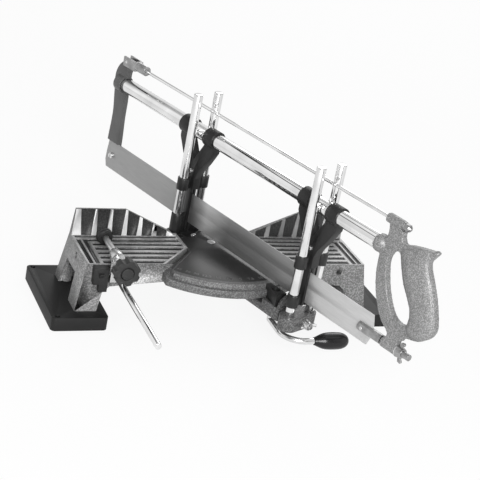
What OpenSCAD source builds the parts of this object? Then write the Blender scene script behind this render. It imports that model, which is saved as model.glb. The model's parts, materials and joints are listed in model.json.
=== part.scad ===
// Manual mitre saw: a two-table bed with a fixed angle quadrant, a swinging arm
// under it that carries four guide posts, and a tensioned frame saw that slides
// through two yokes. Millimetres, X right along the fence, Y to the back, Z up.
// The origin is the centre of the four bench screw holes, on the bench plane.

/* [Tables] */
// Height of the table tops above the bench
table_z = 80.5; // [79:0.5:86]
// Half of the length over both tables
table_half = 191.5; // [190:0.5:196]
// Depth of the tables from the fence face to the front edge
table_d = 80; // [79:0.5:82]
// Thickness of the table tops
table_t = 6; // [5:0.5:7]
// Thickness of the side walls and the legs
wall_t = 5; // [4:0.5:6]
// Depth of the grooves in the table tops
groove_depth = 1.6; // [1:0.2:2.4]
// Width of the grooves in the table tops
groove_w = 7.4; // [6:0.2:8]
// Distance from one groove to the next
groove_pitch = 12.3; // [11.8:0.1:12.6]
// How far the legs splay outwards at their feet
splay_x = 10.5; // [8:0.5:12]
// How far the front of the legs splays forwards at the feet
splay_y = 8; // [6:0.5:10]

/* [Fence] */
// Distance from the bench hole centre line to the fence face
fence_y = 34; // [33:0.5:35]
// Height of the fence above the tables
fence_h = 36.7; // [30:0.1:45]
// Thickness of the fence
fence_t = 9; // [7:0.5:10]
// Half of the gap between the two fence halves at table level
fence_gap = 46.5; // [46:0.5:48]
// Height of the fence where it starts at the gap
fence_low_h = 4.6; // [3:0.2:8]
// Length of the fence's part that has its full height
fence_full_l = 68.8; // [62:0.1:80]
// Depth of the rough pockets between the machined fence lands
pocket_depth = 1.4; // [0.8:0.1:2]
// Distance from one fence land to the next
land_pitch = 20.4; // [19.5:0.1:21]

/* [Quadrant] */
// Radius of the quadrant's top plate
quad_r = 126.5; // [125:0.5:128]
// How far the quadrant lies below the table tops
quad_drop = 3; // [2.5:0.1:3.5]
// Height of the quadrant's top plate
quad_h = 7.5; // [6:0.1:8]
// Width of the ledge in front of the top plate
ledge_w = 5.5; // [4:0.1:6.5]
// Thickness of the ledge plate
ledge_t = 10; // [9:0.1:10.5]
// Place of the swing pivot, behind the bench hole centre line
pivot_y = 30; // [29:0.5:31]
// Diameter of the pivot bolt
pivot_d = 12; // [10:0.5:14]

/* [Feet] */
// Width of each foot plate
foot_w = 72.7; // [70:0.1:76]
// Depth of each foot plate
foot_d = 143.7; // [141:0.1:150]
// Thickness of the foot plates
foot_t = 18; // [14:0.5:20]
// How far each foot plate reaches in under its table, from the table's end
foot_under = 30.2; // [28.5:0.1:33.5]
// Corner radius of the foot plates
foot_corner_r = 6; // [3:0.5:10]
// Distance of the bench screw holes from the tables' ends, along the fence
bench_out = 34.5; // [32.5:0.1:35.5]
// Distance of the bench screw holes from the middle, front to back
bench_y = 66; // [62:0.5:66.5]
// Diameter of the bench screw holes
bench_hole_d = 6.5; // [5:0.1:8]

/* [Swing arm] */
// Mitre angle, with the front of the blade turned to the right
mitre_deg = 19; // [-40:1:45]
// Width of the arm
arm_w = 36; // [34:0.5:38]
// Height of the arm's underside above the bench
arm_z = 44; // [42:0.5:45]
// How far the arm reaches in front of the quadrant's top plate
arm_ahead = 38.5; // [38:0.1:42]
// Diameter of the guide posts
post_d = 12; // [11.4:0.1:12.4]
// Half of the distance between the two posts of a pair
post_off = 17; // [16.5:0.1:17.5]
// Distance from the arm's front end to the front posts
front_ahead = 18.4; // [17.8:0.1:19]
// Distance from the pivot back to the rear posts
rear_s = 57; // [56:0.5:58]
// Height of the post tops above the tables
post_top = 182.5; // [170:0.5:190]

/* [Guides] */
// Outer diameter of the sleeves that run on the posts
sleeve_d = 15.6; // [14.5:0.1:16]
// Height of the upper sleeves
sleeve_h = 16; // [14:0.5:18]
// Outer diameter of the rings that hold the tube
ring_d = 25; // [23.5:0.1:27]
// Width of the rings along the tube
ring_w = 18; // [14:0.5:19]
// Distance from the posts to the middle of each ring
ring_s = 25; // [22.5:0.5:27]
// Radial running clearance of sleeves and rings
run_gap = 0.05; // [0.02:0.01:0.1]

/* [Saw] */
// Length of the blade
blade_l = 555; // [540:1:560]
// Height of the blade
blade_h = 41.5; // [38:0.5:42]
// Thickness of the blade
blade_t = 1; // [0.6:0.1:1.2]
// Distance from the front posts forward to the blade's front end
blade_ahead = 121.6; // [119.6:0.1:123.6]
// Height of the blade's lower edge above the quadrant
blade_lift = 2; // [1.5:0.1:2.5]
// Distance from one tooth to the next
tooth_pitch = 2; // [2:0.5:8]
// Diameter of the guide tube
tube_d = 20; // [19:0.1:20.6]
// Height of the tube's axis above the tables
tube_z = 128.3; // [127:0.1:130]
// Diameter of the tension rod
rod_d = 4.5; // [4:0.1:5]
// Height of the tension rod's axis above the tables
rod_z = 162.7; // [161:0.1:164]

/* [Clamp] */
// Distance of the clamp bar from the table's end
clamp_in = 35.5; // [33.5:0.1:36.5]
// Diameter of the clamp bar
bar_d = 8; // [7:0.1:9]
// Length of the clamp bar in front of the table
bar_l = 186; // [170:1:200]
// Diameter of the clamp knob
knob_d = 33.5; // [30:0.5:34]
// Diameter of the clamp pad
pad_d = 21.4; // [18:0.2:21.6]

/* [Hidden] */

$fn = 64;
cut = 1;                          // overrun of cuts, so that no face is shared
seat_gap = 0.05;                  // radial gap of fixed pins and screws in their holes
free_gap = 0.3;                   // gap between pieces that move past each other

// Tables and legs
quad_z = table_z - quad_drop;
tier_z = quad_z - quad_h;
ledge_z = tier_z - ledge_t;
front_y = fence_y - table_d;
back_y = fence_y + fence_t;
leg_h = table_z - foot_t;
gap_narrows = 2.1;                // how much the gap between the tables narrows forwards
inner_x = fence_gap - gap_narrows;
inner_d = 34;                     // its distance in front of the fence face
slant_run = 45.1;                 // how far the slanted end runs outwards to the front edge
corner_x = inner_x + slant_run;
skirt_h = 27;                     // mean height of the front skirt
skirt_rise = 3;                   // how much lower the skirt is beside the legs
skirt_in = 31.5;                  // from the table's end to where the skirt ends
skirt_x = table_half - skirt_in;
leg_in = 22.7;                    // to the inner edge of the leg where it leaves the skirt
leg_x = table_half - leg_in;
leg_foot_in = 17.5;               // to that edge at the foot
leg_foot_x = table_half - leg_foot_in;
leg_knee_h = 38;                  // depth of that edge below the table top
arch_front = 50;                  // front edge of the arch in the end wall, from the fence face
arch_back = 11;                   // back edge of the same arch
arch_flare = 7;                   // how much deeper the arch's front edge reaches at the foot
arch_narrow = 4;                  // how much its back edge comes back towards the fence
arch_drop = 27;                   // its top edge below the table top
rib_t = 4;                        // thickness of the ribs under the tables
rib_h = 14;                       // height of those ribs
rib_share = 0.6;                  // place of the inner rib, as a share of the half length
rib_beside = 14.29;               // from the outer rib to the clamp bar beside it
rib_xs = [rib_share*table_half, table_half - clamp_in - rib_beside];

// Table grooves, measured from the fence face and from the middle
row_first = 0.8;
row_narrow = 6;
row_second = 11.2;
row_third = 22;
rows = 5;
edge_land = 3.2;
side_groove = 5.8;
side_land = 2.2;
side_band = 4.2;
end_land = 3;

// Fence lands
land_foot_w = 7;
land_top_w = 3;
land_end_w = 12.7;
land_end_top_w = 8;
lands = 6;
land_in = 29.7;                   // from the table's end to the middle of the second land
land_x = table_half - land_in;
fence_draft = 1.8;
fence_top_t = 4;                  // thickness that is left at the fence's top
fence_low_l = 10.5;               // from the gap to where the fence starts to rise
fence_low_x = fence_gap + fence_low_l;
fence_full_x = table_half - fence_full_l;

// Feet and their screws
foot_cx = table_half - foot_under + foot_w/2;
bench_x = table_half + bench_out;
boss_r = 7;
boss_h = 24;
boss_in = 11;
foot_screw_d = 5;
foot_screw_l = 26;
foot_head_d = 10;
foot_head_h = 3.5;
foot_sink = 5;

// Pivot
hub_r = 20;
lobe_r = 15;
quad_rear = 3;                    // rear edge of the quadrant, behind the fence face
quad_gap = 5;                     // channel between the top plate and the slanted table end
quad_corner = 6.4;                // how far the top plate reaches in front of the tables
pivot_head_d = 22;
pivot_head_h = 7;
pivot_blind = 6;                  // depth left above the pivot bolt's end
rear_lobe_r = 19.5;               // rounded rear end of the top plate
rear_lobe_back = 6;               // its centre, behind the pivot
plug_d = 11;                      // the bright plug in the top plate
plug_h = 4;
plug_up = 0.4;
plug_x = -2.5;
plug_ahead = 6.2;                 // its centre, in front of the pivot
washer_t = 2;

// Swing arm
arm_l = quad_r + arm_ahead;
front_s = arm_l + front_ahead;
arm_under = 6;                    // air between the arm's low part and the ledge plate
arm_low_top = ledge_z - arm_under;
arm_step_s = quad_r + ledge_w + 2*free_gap;
arm_front_rise = 0.5;
arm_front_top = ledge_z + arm_front_rise;
arm_channel_w = 24;
arm_channel_h = 6;
riser_s = 45;
riser_under = 9.5;                // from the quadrant's top plate down to the riser's top
riser_top = tier_z - riser_under;
riser_r = 10;
arm_web = 5;
crest_r = 15.7;                   // half-round crest across the arm's front end
crest_t = 5;
crest_in = 1.7;

// Rear post seat
seat_plate_h = 6;
seat_r = 11.5;
tongue_w = 25;
seat_screw_s = 36;                // its screw, behind the pivot
seat_screw_d = 5;
seat_screw_l = 10;                // length of the screw in the arm
seat_head_d = 9;
seat_head_h = 3;

// Front post holder
holder_drop = 18.5;
holder_top = table_z - holder_drop;
holder_near_r = 12.6;
holder_far_r = 9;
holder_pad_l = 7;
holder_slot = 5;
stud_d = 6;
stud_off = 1;
stud_drop = 9;
stud_z = holder_top - stud_drop;
stud_boss_d = 15;
stud_l = 58;
holder_face_s = front_s + holder_near_r;
stud_back = 16;

// Lock block and lever
block_l = 31;
block_near = 19;
block_far = 2.5;
block_taper = 9;
lever_ahead = 17.5;               // the lever's upright leg, in front of the top plate
lever_s = quad_r + lever_ahead;
lever_off = -9;
lever_d = 8;
lever_drop = 45.5;
lever_z = table_z - lever_drop;
lever_deg = -19;
lever_l = 31;
lever_bend_r = 27;
lever_tail = 10;
lever_sink = 6;
grip_l = 48;
grip_d = 22;
lever_recess_d = 11;              // wider mouth of the block's hole over the lever's end
// place along the lever grip and its radius there
lever_grip_shares = [[0, 0.45], [0.04, 0.5], [0.1, 0.62], [0.25, 0.88], [0.4, 0.98], [0.57, 1],
    [0.75, 0.96], [0.88, 0.79], [0.96, 0.5], [1, 0.12]];

// Guides, heights above the tables
upper_z = 48.5;
lower_front_z = -5;
lower_rear_z = riser_top + seat_plate_h + free_gap - table_z;
lower_front_h = 15.5;
lower_rear_top = 12;
lower_rear_h = lower_rear_top - lower_rear_z;
strip_s = 9;
strip_t = 3.6;
strip_gap = 0.35;
arm_thick = 12;
hub_s = 16;
// half of the Y between sleeves and rings: distance from the posts, height to the tube's axis
yoke_shares = [[0.24, 0], [0.36, 0.17], [0.68, 0.42], [1, 0.72], [1, 0.84], [0.47, 0.84],
    [0.41, 0.78], [0, 0.39]];
gscrew_z = 73.4;
gscrew_d = 4;
gscrew_head_d = 7;
gscrew_head_h = 2.5;
gscrew_l = 5;

// Saw
blade_z = quad_z + blade_lift;
blade_front = front_s + blade_ahead;
blade_rear = blade_l - blade_front;
tooth_h = 0.9;
blade_bulge = 3;
end_bulge = 5;
tube_t = 1.6;
tube_axis = table_z + tube_z;
rod_axis = table_z + rod_z;
tube_in = 14;                     // from the blade's rear end to the arm's seat for the tube
tube_rear = blade_rear - tube_in;
tube_short = 16;                  // from the blade's front end back to the tube's
tube_front = blade_front - tube_short;
arm_plate_t = 8;
plate_off = 0.5;
tube_seat = 4;
collar_d = 24.5;
collar_l = 14;
frame_w = 26;                     // width of the rear frame arm beside the tube
screw_in = 12.8;                  // the blade screw, in front of the blade's rear end
screw_s = blade_rear - screw_in;
screw_up_z = 19.1;
screw_z = table_z + screw_up_z;
blade_hole_d = 5;
blade_head_d = 9.4;
blade_head_h = 3;
clevis_d = 13;
clevis_l = 46;
clevis_back = tube_rear;
clevis_fork = 24;
rod_seat = 14;
rod_pin_in = 6.3;                 // the rod's pin, in front of the clevis's rear end
rod_pin_s = clevis_back - rod_pin_in;
rod_pin_d = 4.5;
boss_top_in = 17;                 // rear end of the handle's top boss, from the blade's front
boss_top_s = blade_front - boss_top_in;
boss_top_l = 25;
boss_top_d = 12;
cap_l = 7;
cap_af = 10;
cap_dome = 3;
stud_up_z = 17.7;
low_axis = table_z + stud_up_z;
clevis_in = 21.5;                 // rear end of the blade clevis, from the blade's front
clevis_front_s = blade_front - clevis_in;
clevis_front_l = 38.5;
clevis_front_d = 12;
clevis_pin_in = 14.8;
clevis_pin_s = blade_front - clevis_pin_in;
clevis_pin_d = 5;
tstud_d = 8;
tstud_out = 63;                   // the tension stud's front end, from the blade's
tstud_end = blade_front + tstud_out;
stud_seat = 9;
boss_low_out = 19;                // rear end of the handle's low boss, from the blade's front
boss_low_s = blade_front + boss_low_out;
boss_low_l = 24;
boss_low_d = 14;
stud_washer_d = 15;
stud_washer_t = 1.6;
wing_wall = 2;
wing_hub_l = 8;
wing_span = 27;
wing_t = 2.4;
wing_h = 6;
holder_turn_deg = -5;             // how the two wing nuts are left turned
tension_turn_deg = 90;

// Handle: the D between the two bosses
limb_t = 9;
handle_w = 100;                   // from the front limb to the back of the grip
grip_thick = 23;
grip_sides = 14;
socket_d = 23;                    // ball that holds the tube's front end
socket_back = 3;                  // its centre, behind that end
socket_s = tube_front - socket_back;
handle_in = 15;                   // the front limb's outer face, from the blade's front
handle_s = blade_front - handle_in;
horn_r = 3;
// heights of the low and the top boss, in the handle's own shares, and the height of one share
low_share = 0.177;
top_share = 1.627;
handle_h = (rod_z - stud_up_z)/(top_share - low_share);

// Clamp
clamp_x = table_half - clamp_in;
bar_drop = 11;
bar_z = table_z - bar_drop;
bar_in = 34;
screw_up = 22;
clamp_screw_z = bar_z + screw_up;
pad_back = 30;
pad_y = fence_y - pad_back;
pad_h = 8;
pad_rim = 3;
clamp_screw_d = 8;
nut_back = 70;                    // rear end of the nut, from the fence face
nut_l = 20;
nut_d = 12.5;
eye_back = 78;                    // rear end of the bracket's upper eye
eye_l = 12;
bracket_back = 86;                // rear face of the bracket's lower part
bracket_t = 8;
bracket_w = 16;
knob_back = 116;
knob_y = fence_y - knob_back;
knob_l = 14;
knob_lobes = 7;
knob_scallop = 2.6;
cap_d = 17;
cap_h = 4;
ring_groove = 1.2;
bracket_wall = 2;
holder_sunk = 1.5;
holder_off = 9.5;                 // from the bar's axis to the block beside the bracket
holder_w = 19;
holder_h = 22;
holder_back = 92;                 // front face of that block, from the fence face
holder_tongue_w = 11;
holder_tongue_h = 10;
holder_screw_d = 4;
holder_head_d = 7;
holder_head_h = 2.5;
bscrew_d = 5;
bscrew_l = 8;
stop_back = 35.7;
stop_drop = 10.7;
stop_y = fence_y - stop_back;
stop_z = table_z - stop_drop;
stop_d = 9;                       // bore for a stop rod, in the right end
stop_screw_d = 8;                 // the slotted screw in the left end
stop_slot = 1.4;

// A frame that turns with the arm: X to the right of the blade, -Y along the blade to the front
module swung() { translate([0, pivot_y, 0]) rotate([0, 0, mitre_deg]) children(); }

// A round bar along the blade, from s0 to s1 in front of the pivot
module bar_s(s0, s1, d, z, n = 0) {
    translate([n, -s0, z]) rotate([90, 0, 0]) cylinder(h = s1 - s0, d = d);
}

// A closed curve through hand-chosen points
function wrap(pts, i) = pts[(i + len(pts)) % len(pts)];
function mix(a, b, c, d, t) =
    0.5*((2*b) + (c - a)*t + (2*a - 5*b + 4*c - d)*t*t + (3*b - a - 3*c + d)*t*t*t);
function smooth(pts, n = 4) = [for (i = [0 : len(pts) - 1]) for (k = [0 : n - 1])
    mix(wrap(pts, i - 1), wrap(pts, i), wrap(pts, i + 1), wrap(pts, i + 2), k/n)];

function curve(pts, n = 3) = let (m = len(pts) - 1) concat([for (i = [0 : m - 1]) for (k = [0 : n - 1])
    mix(pts[max(i - 1, 0)], pts[i], pts[i + 1], pts[min(i + 2, m)], k/n)], [pts[m]]);

// A profile in the blade's plane, given as [s, z] points, t thick and centred on n
module plate(t, n = 0) {
    translate([n + t/2, 0, 0]) rotate([90, 0, -90]) linear_extrude(t) children();
}

function inner_edge(d) = d <= inner_d
    ? fence_gap + (inner_x - fence_gap)*d/inner_d
    : inner_x + (corner_x - inner_x)*(d - inner_d)/(table_d - inner_d);

// Plan of one table, with its slanted inner end moved outwards by `in`
module table_plan(in = 0, back = 0, front = 0) {
    slant = in*1.4;
    polygon([[fence_gap + in, fence_y + back], [inner_x + slant*0.9, fence_y - inner_d],
        [corner_x + slant, front_y], [corner_x + slant, front_y - front],
        [table_half + splay_x + cut, front_y - front], [table_half + splay_x + cut, fence_y + back]]);
}

// The shell's front and side views, moved inwards by `in` and down by `down`
module bed_block(in = 0, down = 0) {
    intersection() {
        translate([0, back_y + splay_y + cut, 0]) rotate([90, 0, 0])
            linear_extrude(table_d + fence_t + 2*splay_y + 2*cut)
                polygon([[0, table_z - down], [table_half - in, table_z - down],
                    [table_half + splay_x - in, foot_t - down/table_t*cut],
                    [0, foot_t - down/table_t*cut]]);
        rotate([90, 0, 90]) linear_extrude(table_half + splay_x + cut)
            polygon([[front_y + in, table_z - down], [back_y - in, table_z - down],
                [back_y + cut*2 - in, foot_t - down/table_t*cut],
                [front_y - splay_y + in, foot_t - down/table_t*cut]]);
    }
}

module table_block() {
    intersection() {
        bed_block();
        linear_extrude(table_z) table_plan(0, fence_t + splay_y, splay_y + cut);
    }
}

module table_shell() {
    difference() {
        table_block();
        intersection() {
            bed_block(wall_t, table_t);
            translate([0, 0, -cut]) linear_extrude(table_z)
                table_plan(wall_t, fence_t + splay_y, splay_y + cut);
        }
    }
}

// The air between the legs under the skirt, seen from the front
module skirt_opening() {
    translate([0, back_y + splay_y + 2*cut, 0]) rotate([90, 0, 0])
        linear_extrude(table_d + fence_t + 3*splay_y + 3*cut)
            polygon([[-cut, table_z - skirt_h + skirt_rise], [corner_x, table_z - skirt_h + skirt_rise],
                [skirt_x, table_z - skirt_h - skirt_rise], [leg_x, table_z - leg_knee_h],
                [leg_foot_x, foot_t - cut], [-cut, foot_t - cut]]);
}

module end_arch() {
    translate([table_half - 2*wall_t, 0, 0]) rotate([90, 0, 90])
        linear_extrude(splay_x + 3*wall_t)
            polygon([[fence_y - arch_back, table_z - arch_drop],
                [fence_y - arch_front, table_z - arch_drop],
                [fence_y - arch_front - arch_flare, foot_t - cut],
                [fence_y - arch_back + arch_narrow, foot_t - cut]]);
}

// One groove of a table, clipped by the slanted inner end
module row(d0, d1, x1) {
    translate([0, 0, table_z - groove_depth]) linear_extrude(groove_depth + cut)
        polygon([[inner_edge(d0) + 1.5*end_land, fence_y - d0], [x1, fence_y - d0],
            [x1, fence_y - d1], [inner_edge(d1) + 1.5*end_land, fence_y - d1]]);
}

module table_grooves() {
    a1 = table_half - edge_land;
    a0 = a1 - side_groove;
    b1 = a0 - side_land;
    b0 = b1 - side_groove;
    row(row_first, row_first + row_narrow, a1);
    row(row_second, row_second + row_narrow, b1);
    for (i = [0 : rows - 1])
        row(row_third + i*groove_pitch, row_third + i*groove_pitch + groove_w, b0 - side_band);
    d_end = row_third + (rows - 1)*groove_pitch + groove_w;
    for (x = [[a0, row_second], [b0, row_second + row_narrow - cut]])
        translate([x[0], fence_y - d_end, table_z - groove_depth])
            cube([side_groove, d_end - x[1], groove_depth + cut]);
}

module fence_half() {
    full_top = table_z + fence_h;
    slope = (fence_h - fence_low_h)/(fence_full_x - fence_low_x);
    difference() {
        translate([0, back_y, 0]) rotate([90, 0, 0]) linear_extrude(fence_t)
            polygon([[fence_gap, table_z - table_t], [table_half, table_z - table_t],
                [table_half, table_z], [table_half - fence_draft, full_top],
                [fence_full_x, full_top], [fence_low_x, table_z + fence_low_h],
                [fence_gap + wall_t, table_z], [fence_gap, table_z]]);
        for (i = [0 : lands - 1]) {
            foot1 = i == 0 ? table_half - land_end_w : land_x - (i - 1)*land_pitch - land_foot_w/2;
            top1 = i == 0 ? table_half - land_end_top_w : land_x - (i - 1)*land_pitch
                - land_top_w/2 + fence_draft/2;
            foot0 = land_x - i*land_pitch + land_foot_w/2;
            top0 = land_x - i*land_pitch + land_top_w/2 + fence_draft/2;
            translate([0, fence_y + pocket_depth, 0]) rotate([90, 0, 0])
                linear_extrude(pocket_depth + cut)
                    polygon([[foot0, table_z], [foot1, table_z],
                        [top1, full_top + cut], [top0, full_top + cut]]);
        }
        // the back slopes forwards to the thin top
        rotate([90, 0, 90]) linear_extrude(table_half + cut)
            polygon([[back_y, table_z], [fence_y + fence_top_t, full_top],
                [fence_y + fence_top_t, full_top + cut], [back_y + cut, full_top + cut],
                [back_y + cut, table_z]]);
    }
}

// Buttresses behind the fence
module fence_ribs() {
    for (x = rib_xs)
        translate([x, back_y - cut, 0]) rotate([90, 0, 90]) linear_extrude(rib_t)
            polygon([[0, table_z - table_t], [wall_t + cut, table_z - table_t],
                [cut, table_z + fence_h - fence_t],
                [fence_top_t - fence_t, table_z + fence_h - fence_t]]);
}

module above_tables() {
    translate([0, front_y - 2*splay_y, table_z])
        cube([table_half + 2*splay_x, table_d + fence_t + 4*splay_y, fence_h + cut]);
}

// One table with its legs; the fence stands on its rear edge
module half_table(bore_d = stop_d) {
    difference() {
        union() {
            difference() {
                table_shell();
                skirt_opening();
                end_arch();
            }
            intersection() {
                for (x = rib_xs)
                    translate([x, front_y, table_z - table_t - rib_h])
                        cube([rib_t, table_d + fence_t, rib_h + cut]);
                bed_block(wall_t/2, table_t/2);
            }
            difference() {
                union() {
                    fence_half();
                    fence_ribs();
                }
                above_tables();
            }
            for (y = [front_y + boss_in - splay_y/2, back_y - boss_in])
                intersection() {
                    translate([table_half + splay_x - boss_in, y, foot_t])
                        cylinder(r = boss_r, h = boss_h);
                    bed_block(wall_t/2, 0);
                }
            translate([table_half - 2.5*wall_t, stop_y, stop_z]) rotate([0, 90, 0])
                cylinder(d = stop_d + wall_t, h = 2*wall_t);
        }
        table_grooves();
        for (y = [front_y + boss_in - splay_y/2, back_y - boss_in])
            translate([table_half + splay_x - boss_in, y, foot_t - cut])
                cylinder(d = foot_screw_d + 2*seat_gap, h = boss_h - foot_head_h);
        translate([table_half - 3*wall_t, stop_y, stop_z]) rotate([0, 90, 0])
            cylinder(d = bore_d, h = 4*wall_t);
        translate([clamp_x, front_y + 2*wall_t, bar_z]) rotate([90, 0, 0])
            cylinder(d = bar_d + 2*seat_gap, h = 2*wall_t + splay_y);
    }
}

module quadrant_plan(r, gap, rear, reach) {
    intersection() {
        translate([0, pivot_y]) circle(r = r, $fn = 160);
        polygon([[-fence_gap - 2*cut + gap, fence_y + rear], [-inner_x - cut + gap, fence_y - inner_d],
            [-corner_x - cut + gap*1.4, front_y - reach], [-corner_x - cut + gap*1.4, pivot_y - r - cut],
            [corner_x + cut - gap*1.4, pivot_y - r - cut], [corner_x + cut - gap*1.4, front_y - reach],
            [inner_x + cut - gap, fence_y - inner_d],
            [fence_gap + 2*cut - gap, fence_y + rear]]);
    }
}

// The bed: two hollow tables, a fence half on each, and the two-tier quadrant between them
module right_table() { color("dimgray") half_table(); }

module left_table() {
    color("dimgray") difference() {
        mirror([1, 0, 0]) half_table(stop_screw_d + 2*seat_gap);
        // tapped hole for the bar holder's screw
        translate([-clamp_x - holder_off - holder_w/2, front_y + wall_t, bar_z]) rotate([90, 0, 0])
            cylinder(d = holder_screw_d + 2*seat_gap, h = 2*wall_t);
    }
}

module right_fence() {
    color("dimgray") intersection() {
        union() {
            fence_half();
            fence_ribs();
        }
        above_tables();
    }
}
module left_fence() { mirror([1, 0, 0]) right_fence(); }

module quadrant() {
    color("dimgray") difference() {
        union() {
            difference() {
                translate([0, 0, ledge_z]) linear_extrude(ledge_t) {
                    quadrant_plan(quad_r + ledge_w, -cut, quad_rear, 0);
                    translate([0, pivot_y]) circle(r = lobe_r);
                }
                for (m = [0, 1]) mirror([m, 0, 0]) table_block();
            }
            translate([0, 0, tier_z - cut]) linear_extrude(quad_h + cut)
                quadrant_plan(quad_r, quad_gap, quad_rear, quad_corner);
            translate([0, pivot_y + rear_lobe_back, tier_z]) cylinder(r = rear_lobe_r, h = quad_h);
        }
        translate([0, pivot_y, ledge_z - cut])
            cylinder(d = pivot_d + 2*seat_gap, h = ledge_t + quad_h + cut - pivot_blind);
        translate([plug_x, pivot_y - plug_ahead, quad_z + plug_up - plug_h])
            cylinder(d = plug_d + 2*seat_gap, h = plug_h + cut);
    }
}

module foot_plan() {
    x = foot_w/2 - foot_corner_r;
    y = foot_d/2 - foot_corner_r;
    square([2*x, foot_d], center = true);
    square([foot_w, 2*y], center = true);
    for (i = [-1, 1]) for (j = [-1, 1]) translate([i*x, j*y]) circle(r = foot_corner_r);
}

module foot() {
    color("black") difference() {
        translate([foot_cx, 0, 0]) linear_extrude(foot_t) foot_plan();
        for (j = [-1, 1]) translate([bench_x, j*bench_y, -cut])
            cylinder(d = bench_hole_d, h = foot_t + 2*cut);
        for (y = [front_y + boss_in - splay_y/2, back_y - boss_in])
            translate([table_half + splay_x - boss_in, y, -cut]) {
                cylinder(d = foot_screw_d + 2*seat_gap, h = foot_t + 2*cut);
                cylinder(d = foot_head_d + 2*free_gap, h = foot_sink + foot_head_h + cut);
            }
    }
}
module right_foot() { foot(); }
module left_foot() { mirror([1, 0, 0]) foot(); }

// A pan-head screw, head down at the origin, shank up
module pan_screw(d, l, head_d, head_h) {
    cylinder(d = d, h = l);
    translate([0, 0, -head_h]) difference() {
        cylinder(d1 = head_d*0.8, d2 = head_d, h = head_h);
        translate([-head_d, -head_d/12, -cut]) cube([2*head_d, head_d/6, head_h/2 + cut]);
    }
}

module foot_screws() {
    color("silver") for (m = [0, 1]) mirror([m, 0, 0])
        for (y = [front_y + boss_in - splay_y/2, back_y - boss_in])
            translate([table_half + splay_x - boss_in, y, foot_sink + foot_head_h])
                pan_screw(foot_screw_d, foot_screw_l, foot_head_d, foot_head_h);
}

module pivot_bolt() {
    bottom = arm_z - washer_t - run_gap;
    color("silver") translate([0, pivot_y, 0]) {
        translate([0, 0, bottom]) cylinder(d = pivot_d, h = quad_z - pivot_blind - bottom);
        translate([0, 0, bottom - pivot_head_h]) cylinder(d = pivot_head_d, h = pivot_head_h, $fn = 6);
    }
}

module pivot_washer() {
    color("silver") translate([0, pivot_y, arm_z - washer_t - run_gap]) difference() {
        cylinder(d = pivot_head_d + 2*washer_t, h = washer_t);
        translate([0, 0, -cut]) cylinder(d = pivot_d + 2*seat_gap, h = washer_t + 2*cut);
    }
}

module quadrant_plug() {
    color("silver") translate([plug_x, pivot_y - plug_ahead, quad_z + plug_up - plug_h])
        cylinder(d = plug_d, h = plug_h);
}

module stop_screw() {
    color("silver") difference() {
        translate([-table_half + wall_t*0.2, stop_y, stop_z]) rotate([0, 90, 0])
            cylinder(d = stop_screw_d, h = 2*wall_t);
        translate([-table_half, stop_y - stop_slot/2, stop_z - stop_d])
            cube([wall_t*0.5, stop_slot, 2*stop_d]);
    }
}

module clamp_bar() {
    color("silver") translate([-clamp_x, front_y + bar_in, bar_z]) rotate([90, 0, 0])
        cylinder(d = bar_d, h = bar_in + bar_l);
}

// Front face of the bed at a height z
function face_y(z) = front_y - splay_y*(table_z - z)/leg_h;

// The block beside the bar, with a thin plate behind the bracket that the bar runs through
module bar_holder() {
    top = table_z - holder_sunk;
    low = top - holder_h - holder_tongue_h;
    x1 = -clamp_x - holder_off;
    y0 = fence_y - holder_back;
    plate_y = fence_y - bracket_back + free_gap;
    color("black") difference() {
        intersection() {
            union() {
                translate([x1 - holder_w, y0, top - holder_h]) cube([holder_w, holder_back, holder_h]);
                translate([x1 - holder_tongue_w, y0, low])
                    cube([holder_tongue_w, holder_back, holder_tongue_h + cut]);
                translate([x1 - cut, plate_y, top - holder_h])
                    cube([2*holder_off + cut, holder_back, holder_h]);
            }
            translate([-table_half, 0, 0]) rotate([90, 0, 90]) linear_extrude(table_half)
                polygon([[front_y, table_z], [front_y - splay_y, foot_t],
                    [front_y - 4*splay_y, foot_t], [front_y - 4*splay_y, table_z]]);
        }
        translate([-clamp_x, y0 - cut, bar_z]) rotate([-90, 0, 0])
            cylinder(d = bar_d + 2*seat_gap, h = holder_back);
        translate([x1 - holder_w/2, y0 - cut, bar_z]) rotate([-90, 0, 0])
            cylinder(d = holder_screw_d + 2*seat_gap, h = holder_back);
    }
}

module bar_holder_screw() {
    translate([-clamp_x - holder_off - holder_w/2, fence_y - holder_back, bar_z])
        color("dimgray") rotate([-90, 0, 0])
            pan_screw(holder_screw_d, front_y - fence_y + holder_back + wall_t/2,
                holder_head_d, holder_head_h);
}

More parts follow.
